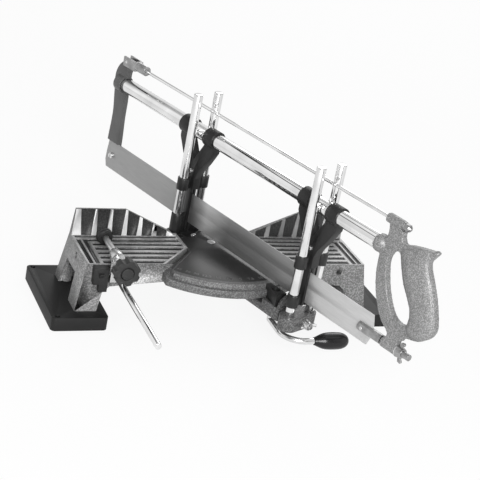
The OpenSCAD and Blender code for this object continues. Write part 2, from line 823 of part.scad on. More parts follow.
// Swinging arm, cast: hub and low beam under the quadrant, nose in front, riser behind
module swing_arm() {
    color("gray") swung() difference() {
        union() {
            translate([0, 0, arm_z]) cylinder(r = hub_r, h = ledge_z - run_gap - arm_z);
            translate([-arm_w/2, -arm_l, arm_z]) cube([arm_w, arm_l + rear_s, arm_low_top - arm_z]);
            translate([-arm_w/2, -arm_l, arm_z])
                cube([arm_w, arm_l - arm_step_s, arm_front_top - arm_z]);
            bar_s(arm_l - crest_in - crest_t, arm_l - crest_in, 2*crest_r, arm_front_top);
            translate([0, rear_s, arm_z]) linear_extrude(riser_top - arm_z) {
                for (i = [-1, 1]) translate([i*post_off, 0]) circle(r = riser_r);
                translate([-post_off, riser_s - rear_s]) square([2*post_off, rear_s - riser_s + riser_r]);
                translate([0, seat_screw_s - rear_s]) circle(d = tongue_w);
                translate([-tongue_w/2, seat_screw_s - rear_s])
                    square([tongue_w, rear_s - seat_screw_s]);
            }
        }
        translate([-arm_channel_w/2, -arm_step_s + arm_web, arm_z - cut])
            cube([arm_channel_w, arm_step_s - hub_r - 2*arm_web, arm_channel_h + cut]);
        translate([0, 0, arm_z - cut]) cylinder(d = pivot_d + 2*run_gap, h = table_z);
        for (i = [-1, 1]) translate([i*post_off, rear_s, arm_z + arm_web])
            cylinder(d = post_d + 2*seat_gap, h = table_z);
        translate([lever_off, -lever_s, arm_z - cut]) cylinder(d = lever_d + 2*run_gap, h = table_z);
        bar_s(arm_l - stud_back, arm_l + cut, stud_d + 2*seat_gap, stud_z, stud_off);
        translate([0, seat_screw_s, riser_top - seat_screw_l])
            cylinder(d = seat_screw_d + 2*seat_gap, h = table_z);
    }
}

module rear_post_seat() {
    z0 = riser_top;
    color("black") swung() difference() {
        union() {
            translate([0, 0, z0]) linear_extrude(seat_plate_h) {
                for (i = [-1, 1]) translate([i*post_off, rear_s]) circle(r = seat_r);
                translate([-post_off, rear_s - seat_r]) square([2*post_off, 2*seat_r]);
                translate([0, seat_screw_s]) circle(d = tongue_w);
                translate([-tongue_w/2, seat_screw_s]) square([tongue_w, rear_s - seat_screw_s]);
            }
        }
        for (i = [-1, 1]) translate([i*post_off, rear_s, z0 - cut])
            cylinder(d = post_d + 2*seat_gap, h = seat_plate_h + 2*cut);
        translate([0, seat_screw_s, z0 - cut])
            cylinder(d = seat_screw_d + 2*seat_gap, h = seat_plate_h + 2*cut);
    }
}

module seat_screw() {
    color("silver") swung() translate([0, seat_screw_s, riser_top + seat_plate_h])
        rotate([180, 0, 0]) pan_screw(seat_screw_d, seat_plate_h + seat_screw_l - cut,
            seat_head_d, seat_head_h);
}

// A guide post with a small chamfer at its top
module post(n, s, z0) {
    chamfer = post_d/12;
    color("silver") swung() translate([n, -s, z0]) {
        cylinder(d = post_d, h = table_z + post_top - z0 - chamfer);
        translate([0, 0, table_z + post_top - z0 - chamfer])
            cylinder(d1 = post_d, d2 = post_d - 2*chamfer, h = chamfer);
    }
}
module rear_post_left() { post(-post_off, -rear_s, arm_z + arm_web); }
module rear_post_right() { post(post_off, -rear_s, arm_z + arm_web); }
module front_post_left() { post(-post_off, front_s, arm_z + arm_web); }
module front_post_right() { post(post_off, front_s, arm_z + arm_web); }

module front_post_holder() {
    color("gray") swung() difference() {
        union() {
            translate([0, 0, arm_z]) linear_extrude(holder_top - arm_z) {
                translate([-post_off, -front_s]) circle(r = holder_near_r);
                translate([post_off, -front_s]) circle(r = holder_far_r);
                polygon([[-post_off, -front_s + holder_near_r], [-post_off/2, -arm_l - holder_slot],
                    [post_off + holder_far_r, -arm_l - holder_slot], [post_off + holder_far_r, -front_s],
                    [post_off, -front_s - holder_far_r], [-post_off, -front_s - holder_near_r]]);
                translate([-post_off/2, -arm_l - holder_pad_l])
                    square([post_off*1.5, holder_pad_l - seat_gap]);
            }
            // round boss under the wing nut
            bar_s(front_s, holder_face_s, stud_boss_d, stud_z, stud_off);
        }
        for (i = [-1, 1]) translate([i*post_off, -front_s, arm_z + arm_web])
            cylinder(d = post_d + 2*seat_gap, h = table_z);
        bar_s(arm_l - cut, front_s + 2*holder_near_r, stud_d + 2*seat_gap, stud_z, stud_off);
    }
}

module holder_stud() {
    color("silver") swung()
        bar_s(arm_l - stud_back, arm_l - stud_back + stud_l, stud_d, stud_z, stud_off);
}

// A wing nut with its axis along the blade, from s0 forwards
module wing_nut(s0, z, n, hole_d, turn) {
    hub_d = hole_d + 2*wing_wall;
    translate([n, -s0, z]) rotate([90, 0, 0]) rotate([0, 0, turn]) difference() {
        union() {
            cylinder(d1 = hub_d*1.3, d2 = hub_d, h = wing_hub_l);
            for (m = [0, 1]) mirror([m, 0, 0])
                translate([0, wing_t/2, 0]) rotate([90, 0, 0]) linear_extrude(wing_t)
                    polygon([[0, 0], [hub_d/2, wing_t/2], [wing_span*0.46, wing_h*0.45],
                        [wing_span*0.5, wing_h*1.15], [wing_span*0.44, wing_h*1.4],
                        [wing_span*0.36, wing_h*1.3], [hub_d/2, wing_h*0.7], [0, wing_h*0.7]]);
        }
        translate([0, 0, -cut]) cylinder(d = hole_d + 2*run_gap, h = 2*wing_h + cut);
    }
}

module holder_wing_nut() {
    color("silver") swung() wing_nut(holder_face_s + run_gap, stud_z, stud_off, stud_d, holder_turn_deg);
}

// Black block that clamps down on the quadrant's ledge
module lock_block() {
    top = quad_z;
    bottom = arm_front_top + free_gap;
    color("black") swung() difference() {
        translate([0, 0, bottom]) linear_extrude(top - bottom)
            polygon([[-block_near + block_taper, -quad_r], [-block_far, -quad_r],
                [-block_far, -quad_r - block_l], [-block_near, -quad_r - block_l]]);
        translate([0, 0, bottom - cut])
            cylinder(r = quad_r + ledge_w + free_gap, h = tier_z + free_gap - bottom + cut, $fn = 160);
        cylinder(r = quad_r + free_gap, h = table_z + cut, $fn = 160);
        translate([lever_off, -lever_s, bottom - cut])
            cylinder(d = lever_d + 2*run_gap, h = top - bottom + 2*cut);
        translate([lever_off, -lever_s, top - lever_sink + cut]) cylinder(d = lever_recess_d, h = lever_sink);
    }
}

// The lever's own frame: origin on its upright leg, -Y along its first straight
module at_lever() {
    swung() translate([lever_off, -lever_s, lever_z]) rotate([0, 0, lever_deg]) children();
}

module lever_rod() {
    color("silver") at_lever() {
        cylinder(d = lever_d, h = quad_z - lever_sink - lever_z);
        sphere(d = lever_d);
        rotate([90, 0, 0]) cylinder(d = lever_d, h = lever_l);
        translate([lever_bend_r, -lever_l, 0]) rotate([0, 0, 180]) rotate_extrude(angle = 90)
            translate([lever_bend_r, 0]) circle(d = lever_d);
        translate([lever_bend_r, -lever_l - lever_bend_r, 0]) rotate([0, 90, 0])
            cylinder(d = lever_d, h = lever_tail + grip_l*0.7);
    }
}

// Moulded oval grip, turned about the rod
module lever_grip() {
    color("black") at_lever()
        translate([lever_bend_r + lever_tail, -lever_l - lever_bend_r, 0]) rotate([0, 90, 0])
            difference() {
                rotate_extrude() polygon(concat([[0, 0]],
                    [for (p = curve(lever_grip_shares)) [grip_d/2*p[1], grip_l*p[0]]], [[0, grip_l]]));
                translate([0, 0, -cut]) cylinder(d = lever_d + 2*seat_gap, h = grip_l*0.7 + cut);
            }
}

// A yoke that runs on one pair of posts and carries the tube in two rings
module guide(low_z, low_h) {
    z = table_z;
    side = blade_t/2 + strip_gap;
    top_z = upper_z + sleeve_h;
    difference() {
        union() {
            for (i = [-1, 1]) {
                translate([i*post_off, 0, z + upper_z]) cylinder(d = sleeve_d, h = sleeve_h);
                translate([i*post_off, 0, z + low_z]) cylinder(d = sleeve_d, h = low_h);
                bar_s(i*ring_s - ring_w/2, i*ring_s + ring_w/2, ring_d, z + tube_z);
                // strips beside the blade, and the webs that tie them to the sleeves
                translate([i > 0 ? side : -side - strip_t, -strip_s/2, z + low_z])
                    cube([strip_t, strip_s, upper_z - low_z + strip_t]);
                translate([i > 0 ? side : -post_off, -strip_t/2, z + low_z])
                    cube([post_off - side, strip_t, low_h]);
            }
            translate([-post_off, -strip_t/2, z + upper_z]) cube([2*post_off, strip_t, sleeve_h]);
            translate([-arm_thick/2, -hub_s/2, z + upper_z]) cube([arm_thick, hub_s, sleeve_h + cut]);
            plate(arm_thick) polygon([for (i = [1, -1]) for (k = [0 : len(yoke_shares) - 1])
                let (p = yoke_shares[i > 0 ? k : len(yoke_shares) - 1 - k])
                [i*p[0]*(ring_s + ring_w/2), z + top_z + p[1]*(tube_z - top_z)]]);
        }
        for (i = [-1, 1]) {
            translate([i*post_off, 0, z + low_z - cut])
                cylinder(d = post_d + 2*run_gap, h = top_z - low_z + 2*cut);
            translate([i*(arm_thick/2 + cut), 0, z + gscrew_z]) rotate([0, -i*90, 0])
                cylinder(d = gscrew_d + 2*seat_gap, h = gscrew_l + cut);
        }
        bar_s(-ring_s - ring_w, ring_s + ring_w, tube_d + 2*run_gap, z + tube_z);
    }
}

module guide_screws() {
    for (i = [-1, 1]) translate([i*arm_thick/2, 0, table_z + gscrew_z]) rotate([0, -i*90, 0])
        pan_screw(gscrew_d, gscrew_l - seat_gap, gscrew_head_d, gscrew_head_h);
}

module front_guide() {
    color("black") swung() translate([0, -front_s, 0]) guide(lower_front_z, lower_front_h);
}
module rear_guide() {
    color("black") swung() translate([0, rear_s, 0]) guide(lower_rear_z, lower_rear_h);
}
module front_guide_screws() { color("silver") swung() translate([0, -front_s, 0]) guide_screws(); }
module rear_guide_screws() { color("silver") swung() translate([0, rear_s, 0]) guide_screws(); }

// Saw frame
module saw_tube() {
    color("silver") swung() difference() {
        bar_s(-tube_rear - tube_seat, tube_front, tube_d, tube_axis);
        bar_s(-tube_rear - tube_seat - cut, tube_front + cut, tube_d - 2*tube_t, tube_axis);
    }
}

// Shares of the arm's width and height: outer edge upwards, then inner edge downwards
frame_outline_shares = [[0.82, -0.06], [0.86, 0.06], [0.84, 0.2], [0.78, 0.36], [0.78, 0.48],
    [0.92, 0.66], [1.02, 0.77], [1, 0.85], [0.8, 0.93], [0.5, 0.985], [0.2, 1.03], [-0.05, 1.02],
    [-0.22, 0.965], [-0.03, 0.9], [0, 0.82], [0, 0.7], [-0.02, 0.58], [-0.01, 0.42], [-0.07, 0.2],
    [-0.04, 0.06], [0.1, -0.06], [0.45, -0.11]];

module rear_frame_arm() {
    h = rod_axis - screw_z;
    inner = tube_rear - frame_w*0.38;
    color("dimgray") swung() difference() {
        union() {
            plate(arm_plate_t, plate_off) polygon(smooth([for (p = frame_outline_shares)
                [-inner - p[0]*frame_w, screw_z + p[1]*h]]));
            bar_s(-tube_rear - 2*tube_seat, -tube_rear - 2*tube_seat + collar_l, collar_d, tube_axis);
        }
        // seat for the blade on the near side
        translate([-arm_plate_t, tube_rear - 2*frame_w, blade_z - blade_h])
            cube([arm_plate_t + blade_t/2 + seat_gap, 4*frame_w, 2*blade_h + free_gap]);
        bar_s(-tube_rear - tube_seat - seat_gap, tube_front, tube_d + 2*seat_gap, tube_axis);
        translate([-arm_plate_t, screw_s, screw_z]) rotate([0, 90, 0])
            cylinder(d = blade_hole_d, h = 3*arm_plate_t);
        translate([-arm_plate_t, rod_pin_s, rod_axis]) rotate([0, 90, 0])
            cylinder(d = rod_pin_d + 2*seat_gap, h = 3*arm_plate_t);
    }
}

module rod_clevis() {
    color("silver") swung() difference() {
        union() {
            bar_s(-clevis_back + clevis_fork, -clevis_back + clevis_l, clevis_d, rod_axis);
            translate([-clevis_d/2, clevis_back - clevis_fork - clevis_d/4, rod_axis - clevis_d/2])
                cube([clevis_d, clevis_fork + clevis_d/4, clevis_d]);
        }
        // fork for the frame arm
        translate([plate_off - arm_plate_t/2 - seat_gap, clevis_back - clevis_fork, rod_axis - clevis_d])
            cube([arm_plate_t + 2*seat_gap, clevis_fork + cut, 2*clevis_d]);
        translate([-clevis_d, rod_pin_s, rod_axis]) rotate([0, 90, 0])
            cylinder(d = rod_pin_d + 2*seat_gap, h = 2*clevis_d);
        bar_s(-clevis_back + clevis_l - rod_seat, tube_front, rod_d + 2*seat_gap, rod_axis);
    }
}

module rod_pin() {
    color("silver") swung() translate([-clevis_d/2, rod_pin_s, rod_axis]) rotate([0, 90, 0])
        cylinder(d = rod_pin_d, h = clevis_d);
}

module tension_rod() {
    color("silver") swung()
        bar_s(-clevis_back + clevis_l - rod_seat, boss_top_s + boss_top_l + cap_l, rod_d, rod_axis);
}

module cap_nut() {
    s0 = boss_top_s + boss_top_l;
    color("silver") swung() difference() {
        union() {
            bar_s(s0, s0 + washer_t, boss_top_d*0.92, rod_axis);
            translate([0, -s0, rod_axis]) rotate([90, 0, 0])
                cylinder(d = cap_af, h = cap_l + washer_t, $fn = 6);
            translate([0, -s0 - cap_l - washer_t, rod_axis]) rotate([90, 0, 0])
                cylinder(d1 = cap_af*0.8, d2 = cap_af*0.3, h = cap_dome);
        }
        bar_s(s0 - cut, s0 + cap_l + seat_gap, rod_d + 2*seat_gap, rod_axis);
    }
}

// Toothed blade: straight back, slightly curved ends, teeth along the lower edge
module blade() {
    top = blade_z + blade_h;
    low = blade_z + tooth_h;
    n_teeth = floor((blade_l - end_bulge - blade_bulge)/tooth_pitch);
    teeth = [for (i = [0 : n_teeth - 1]) for (k = [0, 1])
        [-blade_rear + blade_bulge + (i + k*0.7)*tooth_pitch, k == 0 ? low : blade_z]];
    color("silver") swung() difference() {
        plate(blade_t) polygon(concat(teeth,
            [[blade_front - end_bulge, low], [blade_front - blade_bulge*0.3, blade_z + blade_h*0.28],
            [blade_front, blade_z + blade_h*0.7], [blade_front - blade_bulge, top],
            [-blade_rear + blade_bulge, top], [-blade_rear + blade_bulge*0.2, blade_z + blade_h*0.55],
            [-blade_rear, blade_z + blade_h*0.25]]));
        translate([-cut, screw_s, screw_z]) rotate([0, 90, 0]) cylinder(d = blade_hole_d, h = 2*cut);
        translate([-cut, -clevis_pin_s, low_axis]) rotate([0, 90, 0])
            cylinder(d = clevis_pin_d + 2*seat_gap, h = 2*cut);
    }
}

module blade_screw() {
    color("silver") swung() translate([-blade_t/2 - seat_gap, screw_s, screw_z]) rotate([0, 90, 0])
        pan_screw(blade_hole_d - 2*seat_gap, blade_t + arm_plate_t/2 + plate_off,
            blade_head_d, blade_head_h);
}

module blade_clevis() {
    color("silver") swung() difference() {
        bar_s(clevis_front_s, clevis_front_s + clevis_front_l, clevis_front_d, low_axis);
        translate([-blade_t/2 - seat_gap, -blade_front - 2*cut, low_axis - clevis_front_d])
            cube([blade_t + 2*seat_gap, blade_front - clevis_front_s + 3*cut, 2*clevis_front_d]);
        translate([-clevis_front_d, -clevis_pin_s, low_axis]) rotate([0, 90, 0])
            cylinder(d = clevis_pin_d + 2*seat_gap, h = 2*clevis_front_d);
        bar_s(clevis_front_s + clevis_front_l - stud_seat, tstud_end, tstud_d + 2*seat_gap, low_axis);
    }
}

module clevis_pin() {
    color("silver") swung() translate([-clevis_front_d/2, -clevis_pin_s, low_axis]) rotate([0, 90, 0])
        cylinder(d = clevis_pin_d, h = clevis_front_d);
}

module tension_stud() {
    color("silver") swung()
        bar_s(clevis_front_s + clevis_front_l - stud_seat, tstud_end, tstud_d, low_axis);
}

module stud_washer() {
    s0 = boss_low_s + boss_low_l;
    color("silver") swung() difference() {
        bar_s(s0, s0 + stud_washer_t, stud_washer_d, low_axis);
        bar_s(s0 - cut, s0 + stud_washer_t + cut, tstud_d + 2*seat_gap, low_axis);
    }
}

module tension_wing_nut() {
    s0 = boss_low_s + boss_low_l + stud_washer_t;
    color("silver") swung() wing_nut(s0 + run_gap, low_axis, 0, tstud_d, tension_turn_deg);
}

// Handle outline, finger opening and grip, as shares of handle_w from the front
// limb's outer face, and of handle_h above the table top
function up_at(share) = low_axis + handle_h*(share - low_share);
handle_outer_shares = [[0.06, 1.6], [0.25, 1.6], [0.28, 1.49], [0.33, 1.435], [0.43, 1.47],
    [0.6, 1.515], [0.77, 1.55], [0.82, 1.545], [0.775, 1.47], [0.735, 1.4], [0.76, 1.31], [0.86, 1.15],
    [0.96, 0.96], [1.04, 0.74], [1.04, 0.64], [0.99, 0.545], [0.87, 0.45], [0.72, 0.405],
    [0.64, 0.38], [0.61, 0.3], [0.55, 0.2], [0.36, 0.18], [0.4, 0.315], [0.28, 0.405], [0.18, 0.52],
    [0.1, 0.665], [0.04, 0.83], [0.01, 0.98], [0, 1.12], [0.005, 1.24], [0.03, 1.35], [0.055, 1.42],
    [0.06, 1.5]];
opening_shares = [[0.3, 1.315], [0.21, 1.295], [0.155, 1.22], [0.14, 1.12], [0.165, 1], [0.215, 0.85],
    [0.29, 0.7], [0.38, 0.58], [0.47, 0.52], [0.57, 0.51], [0.64, 0.55], [0.655, 0.64], [0.63, 0.755],
    [0.55, 0.87], [0.46, 0.98], [0.4, 1.09], [0.35, 1.2]];
// front and back of each grip slice, from the top down, and its half thickness
grip_shares = [[0.4, 1.455, 0.78, 1.545, 0.4], [0.33, 1.4, 0.765, 1.48, 0.8],
    [0.3, 1.32, 0.735, 1.39, 1], [0.335, 1.23, 0.765, 1.305, 1], [0.385, 1.12, 0.83, 1.205, 1],
    [0.46, 0.985, 0.905, 1.07, 1], [0.55, 0.87, 0.965, 0.945, 1], [0.625, 0.765, 1.01, 0.82, 1],
    [0.655, 0.66, 1.045, 0.69, 1], [0.645, 0.565, 1.015, 0.59, 1], [0.655, 0.495, 0.94, 0.5, 0.85],
    [0.69, 0.44, 0.86, 0.45, 0.5]];
horn_shares = [0.805, 1.55];

module grip() {
    slices = grip_shares;
    last = len(slices) - 1;
    n = grip_sides;
    ring = [for (i = [0 : last]) let (p = slices[i]) for (k = [0 : n - 1])
        let (a = 360*k/n, c = cos(a), m = pow(abs(sin(a)), 0.8)*sign(sin(a)))
        [m*p[4]*grip_thick/2,
            -handle_s - handle_w*((p[0] + p[2])/2 + (p[2] - p[0])/2*c),
            up_at((p[1] + p[3])/2 + (p[3] - p[1])/2*c)]];
    sides = [for (i = [0 : last - 1]) for (k = [0 : n - 1]) let (j = (k + 1)%n)
        each [[i*n + k, (i + 1)*n + j, (i + 1)*n + k], [i*n + k, i*n + j, (i + 1)*n + j]]];
    polyhedron(ring, concat(sides, [[for (k = [n - 1 : -1 : 0]) k]],
        [[for (k = [0 : n - 1]) last*n + k]]), convexity = 4);
}

module saw_handle() {
    to_s = function(p) [handle_s + p[0]*handle_w, up_at(p[1])];
    color("gray") swung() difference() {
        union() {
            plate(limb_t) difference() {
                polygon(smooth([for (p = handle_outer_shares) to_s(p)], 3));
                polygon(smooth([for (p = opening_shares) to_s(p)], 3));
            }
            grip();
            translate([0, -handle_s - handle_w*horn_shares[0], up_at(horn_shares[1])])
                sphere(r = horn_r);
            translate([0, -socket_s, tube_axis]) sphere(d = socket_d);
            bar_s(boss_top_s, boss_top_s + boss_top_l, boss_top_d, rod_axis);
            bar_s(boss_low_s, boss_low_s + boss_low_l, boss_low_d, low_axis);
        }
        bar_s(socket_s - socket_d, tube_front + seat_gap, tube_d + 2*seat_gap, tube_axis);
        bar_s(boss_top_s - cut, boss_top_s + boss_top_l + cut, rod_d + 2*seat_gap, rod_axis);
        bar_s(boss_low_s - handle_w/10, tstud_end, tstud_d + 2*seat_gap, low_axis);
        // spot faces for the cap nut, and for the washer with the sweep of the wing nut
        bar_s(boss_top_s + boss_top_l, boss_top_s + boss_top_l + 2*cap_l,
            boss_top_d + 2*free_gap, rod_axis);
        bar_s(boss_low_s + boss_low_l, tstud_end, wing_span + 2*free_gap, low_axis);
    }
}

// Clamp: a bracket slides along the bar and carries the screw with its pad and knob
module along_y(y0, y1, d, z) {
    translate([-clamp_x, y1, z]) rotate([90, 0, 0]) cylinder(d = d, h = y1 - y0);
}

module clamp_bracket() {
    y1 = fence_y - bracket_back;
    y0 = y1 - bracket_t;
    eye_y = fence_y - eye_back;
    eye_d = nut_d + 2*bracket_wall;
    color("silver") difference() {
        union() {
            along_y(eye_y - eye_l, eye_y, eye_d, clamp_screw_z);
            translate([-clamp_x - bracket_w/2, y0, bar_z - bracket_w/2])
                cube([bracket_w, bracket_t, bracket_w]);
            translate([-clamp_x - eye_d/2, eye_y - eye_l, bar_z])
                cube([eye_d, y1 - eye_y + eye_l, screw_up]);
        }
        along_y(y0 - cut, eye_y + cut, nut_d + 2*seat_gap, clamp_screw_z);
        along_y(y0 - cut, y1 + cut, bar_d + 2*run_gap, bar_z);
        translate([-clamp_x, y0 + bracket_t/2, bar_z]) rotate([0, 90, 0])
            cylinder(d = bscrew_d + 2*seat_gap, h = bracket_w);
    }
}

module bracket_nut() {
    y = fence_y - nut_back;
    color("silver") difference() {
        along_y(y - nut_l, y, nut_d, clamp_screw_z);
        along_y(y - nut_l - cut, y + cut, clamp_screw_d + 2*run_gap, clamp_screw_z);
    }
}

module bracket_screw() {
    y = fence_y - bracket_back - bracket_t/2;
    color("silver") translate([-clamp_x + bar_d/2 + free_gap, y, bar_z]) rotate([0, 90, 0])
        difference() {
            cylinder(d = bscrew_d, h = bscrew_l);
            translate([-bscrew_d, -bscrew_d/10, bscrew_l - bscrew_d/4])
                cube([2*bscrew_d, bscrew_d/5, bscrew_d]);
        }
}

module clamp_pad() {
    color("black") difference() {
        union() {
            along_y(pad_y, pad_y + pad_h - pad_rim, pad_d - 2*cut, clamp_screw_z);
            along_y(pad_y + pad_h - pad_rim, pad_y + pad_h, pad_d, clamp_screw_z);
        }
        along_y(pad_y - cut, pad_y + pad_h - pad_rim, clamp_screw_d + 2*run_gap, clamp_screw_z);
    }
}

module clamp_screw() {
    color("silver") along_y(knob_y - knob_l/2, pad_y + pad_h - pad_rim - free_gap, clamp_screw_d,
        clamp_screw_z);
}

module clamp_knob() {
    color("black") translate([-clamp_x, knob_y, clamp_screw_z]) rotate([90, 0, 0]) difference() {
        union() {
            linear_extrude(knob_l) difference() {
                circle(d = knob_d);
                for (i = [0 : knob_lobes - 1]) rotate(i*360/knob_lobes)
                    translate([knob_d/2 + knob_scallop, 0]) circle(r = knob_scallop*2);
            }
            translate([0, 0, -cap_h]) cylinder(d = cap_d, h = cap_h);
        }
        translate([0, 0, -cap_h - cut])
            cylinder(d = clamp_screw_d + 2*seat_gap, h = cap_h + cut + knob_l/2);
        translate([0, 0, knob_l - cap_h/2]) cylinder(d = cap_d + 2*seat_gap, h = cap_h);
    }
}

module knob_cap() {
    color("black") translate([-clamp_x, knob_y - knob_l + cap_h/2, clamp_screw_z]) rotate([90, 0, 0])
        cylinder(d1 = cap_d, d2 = cap_d - 2*ring_groove, h = cap_h/2 + ring_groove);
}

left_table();
right_table();
left_fence();
right_fence();
quadrant();
left_foot();
right_foot();
foot_screws();
pivot_bolt();
pivot_washer();
quadrant_plug();
stop_screw();
clamp_bar();
bar_holder();
bar_holder_screw();
swing_arm();
rear_post_seat();
seat_screw();
rear_post_left();
rear_post_right();
front_post_left();
front_post_right();
front_post_holder();
holder_stud();
holder_wing_nut();
lock_block();
lever_rod();
lever_grip();
front_guide();
front_guide_screws();
rear_guide();
rear_guide_screws();
saw_tube();
rear_frame_arm();
saw_handle();
tension_rod();
rod_clevis();
rod_pin();
cap_nut();
blade();
blade_screw();
blade_clevis();
clevis_pin();
tension_stud();
stud_washer();
tension_wing_nut();
clamp_bracket();
bracket_nut();
bracket_screw();
clamp_pad();
clamp_screw();
clamp_knob();
knob_cap();
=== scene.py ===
# %% [markdown]
# # A manual mitre saw
# A cast bed with two grooved tables and a fence, an arm that swings under a quadrant and
# carries four posts, a frame saw in two sliding yokes, and a screw clamp. The machine's
# sizes come with the imported frame. Here it gets its cast skins, soft edges, numerals and
# finishes. Lengths are written in millimetres and turned to metres where they are used,
# apart from the floor and the lamps, which are in metres.

# %% Load the frame
import json
import math
import bpy
from mathutils import Matrix, Vector


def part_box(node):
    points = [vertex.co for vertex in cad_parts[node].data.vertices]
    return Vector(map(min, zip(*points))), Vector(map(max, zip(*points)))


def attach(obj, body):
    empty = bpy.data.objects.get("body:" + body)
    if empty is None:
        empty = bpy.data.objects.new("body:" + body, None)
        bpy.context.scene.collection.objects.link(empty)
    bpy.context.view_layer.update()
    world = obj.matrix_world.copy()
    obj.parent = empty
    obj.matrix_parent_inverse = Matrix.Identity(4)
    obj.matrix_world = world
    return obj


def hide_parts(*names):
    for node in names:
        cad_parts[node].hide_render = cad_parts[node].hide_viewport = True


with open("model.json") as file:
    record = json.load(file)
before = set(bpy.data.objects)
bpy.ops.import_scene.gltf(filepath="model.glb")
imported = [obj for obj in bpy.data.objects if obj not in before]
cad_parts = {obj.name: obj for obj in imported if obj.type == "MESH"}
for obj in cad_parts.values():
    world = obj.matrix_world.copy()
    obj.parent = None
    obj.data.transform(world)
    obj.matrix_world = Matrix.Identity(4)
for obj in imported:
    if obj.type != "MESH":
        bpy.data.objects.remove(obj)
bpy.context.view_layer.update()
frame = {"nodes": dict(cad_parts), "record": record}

nodes = frame["nodes"]
body_of = {n: b for b, ns in frame["record"]["behaviour"]["bodies"].items() for n in ns}
slot_of = {s["node"]: s["material_slot"] for s in frame["record"]["subparts"]}

# %% [markdown]
# ## Lengths from the frame
# The machine tells its own sizes, so they are read and not written down twice: how high the
# tables and the quadrant are, where the fence's face stands, where the arm turns, and from
# the saw's stroke the mitre at which it was photographed. A mesh keeps only about seven
# digits, so each length is rounded to a thousandth of a millimetre.

# %% Lengths
MM = 0.001
TABLE = round(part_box("left_table")[1].z/MM, 3)
QUADRANT = round(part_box("quadrant")[1].z/MM, 3)
FENCE_FACE = round(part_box("left_fence")[0].y/MM, 3)
joints = {joint["name"]: joint for joint in frame["record"]["behaviour"]["joints"]}
PIVOT_Y = round(joints["mitre_swing"]["pos_m"][1]/MM, 3)
stroke = joints["saw_stroke"]["axis"]
MITRE = math.atan2(stroke[0], -stroke[1])
print("table", TABLE, "quadrant", QUADRANT, "fence", FENCE_FACE, "pivot", PIVOT_Y)
print("mitre", math.degrees(MITRE), "degrees")

# %% [markdown]
# ## Colours and material nodes
# Colours are read off as the hex values a painter would write, and one function makes them
# linear, which is what a shader needs. One small function adds a node with its settings,
# its links and, for a colour ramp, its stops, so that each material reads as a recipe. A new
# ramp has two stops, so the first two given are its ends and the rest are added between.
# A texture's scale counts cells in a metre, so 1000/x makes cells of x millimetres.

# %% Colour and node helpers


def linear(hex_code):
    channels = [int(hex_code[i:i + 2], 16)/255 for i in (1, 3, 5)]
    return tuple(c/12.92 if c <= 0.04045 else ((c + 0.055)/1.055)**2.4
                 for c in channels) + (1.0,)


def add(tree, kind, inputs=None, stops=(), **settings):
    node = tree.nodes.new("ShaderNode" + kind)
    for key, value in settings.items():
        setattr(node, key, value)
    for key, value in (inputs or {}).items():
        if isinstance(value, bpy.types.NodeSocket):
            tree.links.new(value, node.inputs[key])
        else:
            node.inputs[key].default_value = value
    for number, (position, colour) in enumerate(stops):
        if number < 2:
            node.color_ramp.elements[number].position = position
            node.color_ramp.elements[number].color = colour
        else:
            node.color_ramp.elements.new(position).color = colour
    return node


def material(name):
    mat = bpy.data.materials.new(name)
    mat.use_nodes = True
    mat.node_tree.nodes.clear()
    return mat, mat.node_tree, add(mat.node_tree, "TexCoord").outputs["Object"]


WHITE = (1, 1, 1, 1)
finishes = {}
print("mid grey is", linear("#808080")[0])

# %% [markdown]
# ## Hammertone paint
# The castings wear hammer-finish paint: silver pigment floats into little pools with darker
# rims, 1 to 3 millimetres across, over a slightly uneven skin. A cell pattern gives the
# pools, a noise with finer detail breaks them up, and both lift the surface a little. It
# could be a bump map alone, but the pools also differ in colour, which is what the eye sees
# first. A broad noise leaves the coat a little uneven from one place to the next.

# %% Hammertone paint
UNEVEN = 28


def hammertone(name, dark, light, cell=1.6, lift=0.07):
    mat, tree, spot = material(name)
    cells = add(tree, "TexVoronoi", {"Vector": spot, "Scale": 1000/cell, "Smoothness": 0.7},
                feature="SMOOTH_F1").outputs["Distance"]
    grain = add(tree, "TexNoise", {"Vector": spot, "Scale": 1000/(cell*1.5), "Detail": 4.0,
                                   "Roughness": 0.65}).outputs["Fac"]
    mixed = add(tree, "Math", {0: cells, 1: grain}, operation="ADD").outputs[0]
    shade = add(tree, "MapRange", {"Value": mixed, "From Min": 0.55, "From Max": 1.1}).outputs["Result"]
    broad = add(tree, "TexNoise", {"Vector": spot, "Scale": 1000/UNEVEN, "Detail": 2.0}).outputs["Fac"]
    pools = add(tree, "ValToRGB", {"Fac": shade}, [(0.0, linear(light)), (1.0, linear(dark))])
    tone = add(tree, "ValToRGB", {"Fac": broad}, [(0.35, linear("#EEEEEE")), (0.65, WHITE)])
    colour = add(tree, "MixRGB", {"Fac": 1.0, "Color1": pools.outputs[0], "Color2": tone.outputs[0]},
                 blend_type="MULTIPLY").outputs["Color"]
    bump = add(tree, "Bump", {"Strength": 0.5, "Distance": lift*MM, "Height": shade})
    shader = add(tree, "BsdfPrincipled", {"Base Color": colour, "Roughness": 0.45,
                                          "Metallic": 0.3, "Normal": bump.outputs["Normal"]})
    add(tree, "OutputMaterial", {"Surface": shader.outputs[0]})
    return mat


finishes["casting"] = hammertone("hammertone paint on cast aluminium", "#7A7A7A", "#C2C2C2")
finishes["arm_casting"] = hammertone("hammertone paint on the arm", "#4E4E4E", "#8C8C8C")
# A darker copy of the casting's paint for the quadrant's sides: painted shade.
finishes["ledge"] = hammertone("hammertone paint on the quadrant", "#5C5C5C", "#9C9C9C")
# Painted shade for the fence's pockets: the casting's paint drawn darker in the recesses.
finishes["pocket_shade"] = hammertone("hammertone paint drawn darker as painted shade", "#303030", "#525252", cell=1.4)
# Painted shade for the grooves: the casting's paint drawn much darker, as the light doesn't reach down
# there.
finishes["groove"] = hammertone("hammertone paint in the grooves", "#1C1C1C", "#343434", cell=1.4)
finishes["handle"] = hammertone("pale hammertone paint", "#7C7C7C", "#B8B8B8", cell=1.3, lift=0.05)
print("paints", sorted(finishes))

